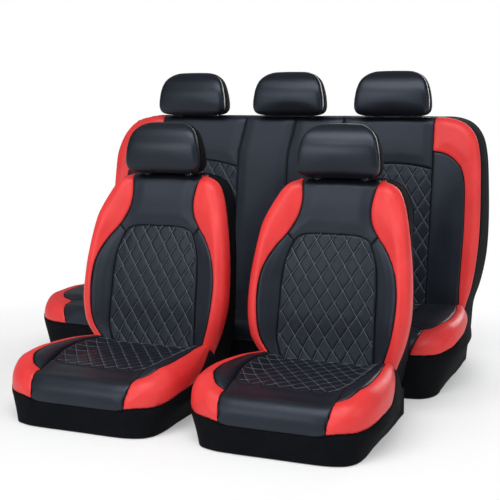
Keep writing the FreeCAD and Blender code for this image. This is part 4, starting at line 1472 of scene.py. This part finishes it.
for tag in ("driver", "passenger"):
    foam_pad(tag + "_back_pad", {**FRONT_BACK, "rear": front_rear}, tag + "_back_foam",
             tag + "_back", PLACES[tag], 190, 640)
    foam_pad(tag + "_cushion_pad", {**FRONT_CUSHION, "floor": 82}, tag + "_cushion_foam",
             "seat_bases", PLACES[tag], -415, -20, 12)
foam_pad("rear_back_wide_pad", {**BENCH_BACK, "rear": bench_rear, "span": (-900, 190)},
         "rear_back_wide_foam", "rear_back_wide", PLACES["rear"], 260, 820)
foam_pad("rear_back_narrow_pad", {**BENCH_BACK, "rear": bench_rear, "span": (218, 900)},
         "rear_back_narrow_foam", "rear_back_narrow", PLACES["rear"], 260, 820)
foam_pad("rear_cushion_pad", {**BENCH_CUSHION, "floor": 90}, "rear_cushion_foam", "seat_bases",
         PLACES["rear"], -470, -30, 12)
print("foam pads in place")


# %% [markdown]
# The map pocket is a flat bag on the rear panel, open at the top. It could be draped, but the
# cloth is short and held on three sides, so a panel with a bulge and a sagging hem is enough.

# %% Map pockets
def dress_pocket(tag):
    place, body = PLACES[tag], tag + "_back"
    low, high = (np.array(c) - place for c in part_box(tag + "_map_pocket"))
    low, high = low / MM, high / MM
    edge = rear_edge(FRONT_BACK, *BACK_RUN, front_strip)
    left = edge[: len(edge) // 2]
    order = np.argsort(left[:, 2])
    z = np.linspace(low[2], high[2], 36)[:, None]
    u = np.linspace(0, 1, 50)[None, :]
    x = low[0] + (high[0] - low[0]) * u + 0 * z
    side_y = np.interp(z[:, 0], left[order, 2], left[order, 1])[:, None]
    up = (z - low[2]) / (high[2] - low[2])
    rise = np.clip(np.sin(math.pi * u), 0, 1) ** 0.4 * (2 + 8 * up)
    sag = 10 * np.sin(math.pi * u) * smooth(0.8, 1, up)
    shape = np.stack([x, side_y + 9 + rise, z + 0 * u - sag], 2)
    piece = panel(tag + "_pocket", FRONT_BACK, shape[..., (0, 2)], FABRIC, body, puff=1.5,
                  place=place, shape=shape, relief=wrinkle(0.5, 30, 2), wall=CLOTH_WALL,
                  held="stretched")
    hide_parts(tag + "_map_pocket")


for tag in ("driver", "passenger"):
    dress_pocket(tag)
print("map pockets in place")

# %% [markdown]
# Zips close the splits in the bench cover. Each is two rows of moulded teeth that interlock on
# the seam, so every other tooth stands to the other side. A tooth is a block of six faces,
# because there are hundreds.

# %% Zips
def zip_teeth(name, spots, half_gap, place, body):
    bm = bmesh.new()
    for x in spots:
        heights = np.arange(REAR_BITE_Z + 14, 852, 3.2)
        points = on_form(BENCH_BACK, zip_at(x, heights))
        for k, point in enumerate(points):
            shift = half_gap if k % 2 else -half_gap
            spot = (point + (shift, 0.6, 0)) * MM + place
            size = Matrix.Diagonal((2.6 * MM, 1.8 * MM, 1.5 * MM, 1))
            bmesh.ops.create_cube(bm, size=1, matrix=Matrix.Translation(spot) @ size)
    mesh = bpy.data.meshes.new(name)
    bm.to_mesh(mesh)
    bm.free()
    return finish_piece(name, mesh, PLASTIC, body, False)


zips = zip_teeth("rear_zip_teeth", (-SPLIT, 0), 1.0, PLACES["rear"], "rear_back_wide")
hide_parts("rear_zips")

# %% [markdown]
# ## Studio
# A pale sweep of paper lies under and behind the set. It glows further out, which hides its edge.
# The room is dim to the pieces and white to the camera, so that black covers stay black.

# %% Floor and room
bm = bmesh.new()
bmesh.ops.create_grid(bm, x_segments=1, y_segments=1, size=12)
floor_mesh = bpy.data.meshes.new("floor")
bm.to_mesh(floor_mesh)
bm.free()
floor = bpy.data.objects.new("floor", floor_mesh)
bpy.context.scene.collection.objects.link(floor)
paper = bpy.data.materials.new("paper")
paper.use_nodes = True
paper_nodes, paper_links = paper.node_tree.nodes, paper.node_tree.links
paper_shader = paper_nodes["Principled BSDF"]
paper_shader.inputs["Base Color"].default_value = (0.95, 0.95, 0.95, 1)
paper_shader.inputs["Roughness"].default_value = 0.9
glow = paper_nodes.new("ShaderNodeEmission")
glow.inputs["Color"].default_value = (1, 1, 1, 1)
far = paper_nodes.new("ShaderNodeVectorMath")
far.operation = "LENGTH"
paper_coords = paper_nodes.new("ShaderNodeTexCoord")
paper_links.new(paper_coords.outputs["Object"], far.inputs[0])
fade = paper_nodes.new("ShaderNodeMapRange")
fade.inputs["From Min"].default_value = 0.8
fade.inputs["From Max"].default_value = 1.7
fade.inputs["To Min"].default_value = 0.3
paper_links.new(far.outputs["Value"], fade.inputs["Value"])
sweep = paper_nodes.new("ShaderNodeMixShader")
paper_links.new(fade.outputs["Result"], sweep.inputs["Fac"])
paper_links.new(paper_shader.outputs["BSDF"], sweep.inputs[1])
paper_links.new(glow.outputs["Emission"], sweep.inputs[2])
paper_links.new(sweep.outputs["Shader"], paper_nodes["Material Output"].inputs["Surface"])
floor_mesh.materials.append(paper)
floor.location.z = -0.0005

world = bpy.data.worlds.new("studio")
world.use_nodes = True
world_nodes, world_links = world.node_tree.nodes, world.node_tree.links
room = world_nodes["Background"]
room.inputs["Color"].default_value = (0.93, 0.96, 1.0, 1)
room.inputs["Strength"].default_value = 0.30
paper_back = world_nodes.new("ShaderNodeBackground")
paper_back.inputs["Color"].default_value = (1, 1, 1, 1)
seen = world_nodes.new("ShaderNodeLightPath")
choose = world_nodes.new("ShaderNodeMixShader")
world_links.new(seen.outputs["Is Camera Ray"], choose.inputs["Fac"])
world_links.new(room.outputs["Background"], choose.inputs[1])
world_links.new(paper_back.outputs["Background"], choose.inputs[2])
world_links.new(choose.outputs["Shader"], world_nodes["World Output"].inputs["Surface"])
bpy.context.scene.world = world


print("paper and room ready")

# %% [markdown]
# One broad soft light hangs above and in front, and puts the long highlight on the front rolls.
# Weaker ones stand front left and right, and one behind shows the fabric rear of the bench.

# %% Lights
def soft_light(name, place, aim, size, power):
    light = bpy.data.lights.new(name, "AREA")
    light.shape = "RECTANGLE"
    light.size, light.size_y = size
    light.energy = power
    obj = bpy.data.objects.new(name, light)
    obj.location = place
    way = Vector(aim) - Vector(place)
    obj.rotation_euler = way.to_track_quat("-Z", "Y").to_euler()
    bpy.context.scene.collection.objects.link(obj)
    obj.visible_camera = False


soft_light("top_light", (0.3, -1.9, 3.2), (0.1, 0.1, 0.3), (3.4, 1.6), 92)
soft_light("front_light", (-1.4, -4.2, 1.9), (0, 0, 0.5), (2.2, 1.2), 46)
soft_light("right_light", (3.6, -1.2, 1.8), (0, 0, 0.4), (1.2, 1.6), 16)
soft_light("back_light", (0.5, 3.4, 1.5), (0, 0.6, 0.5), (2.6, 1.4), 60)
print("studio ready")
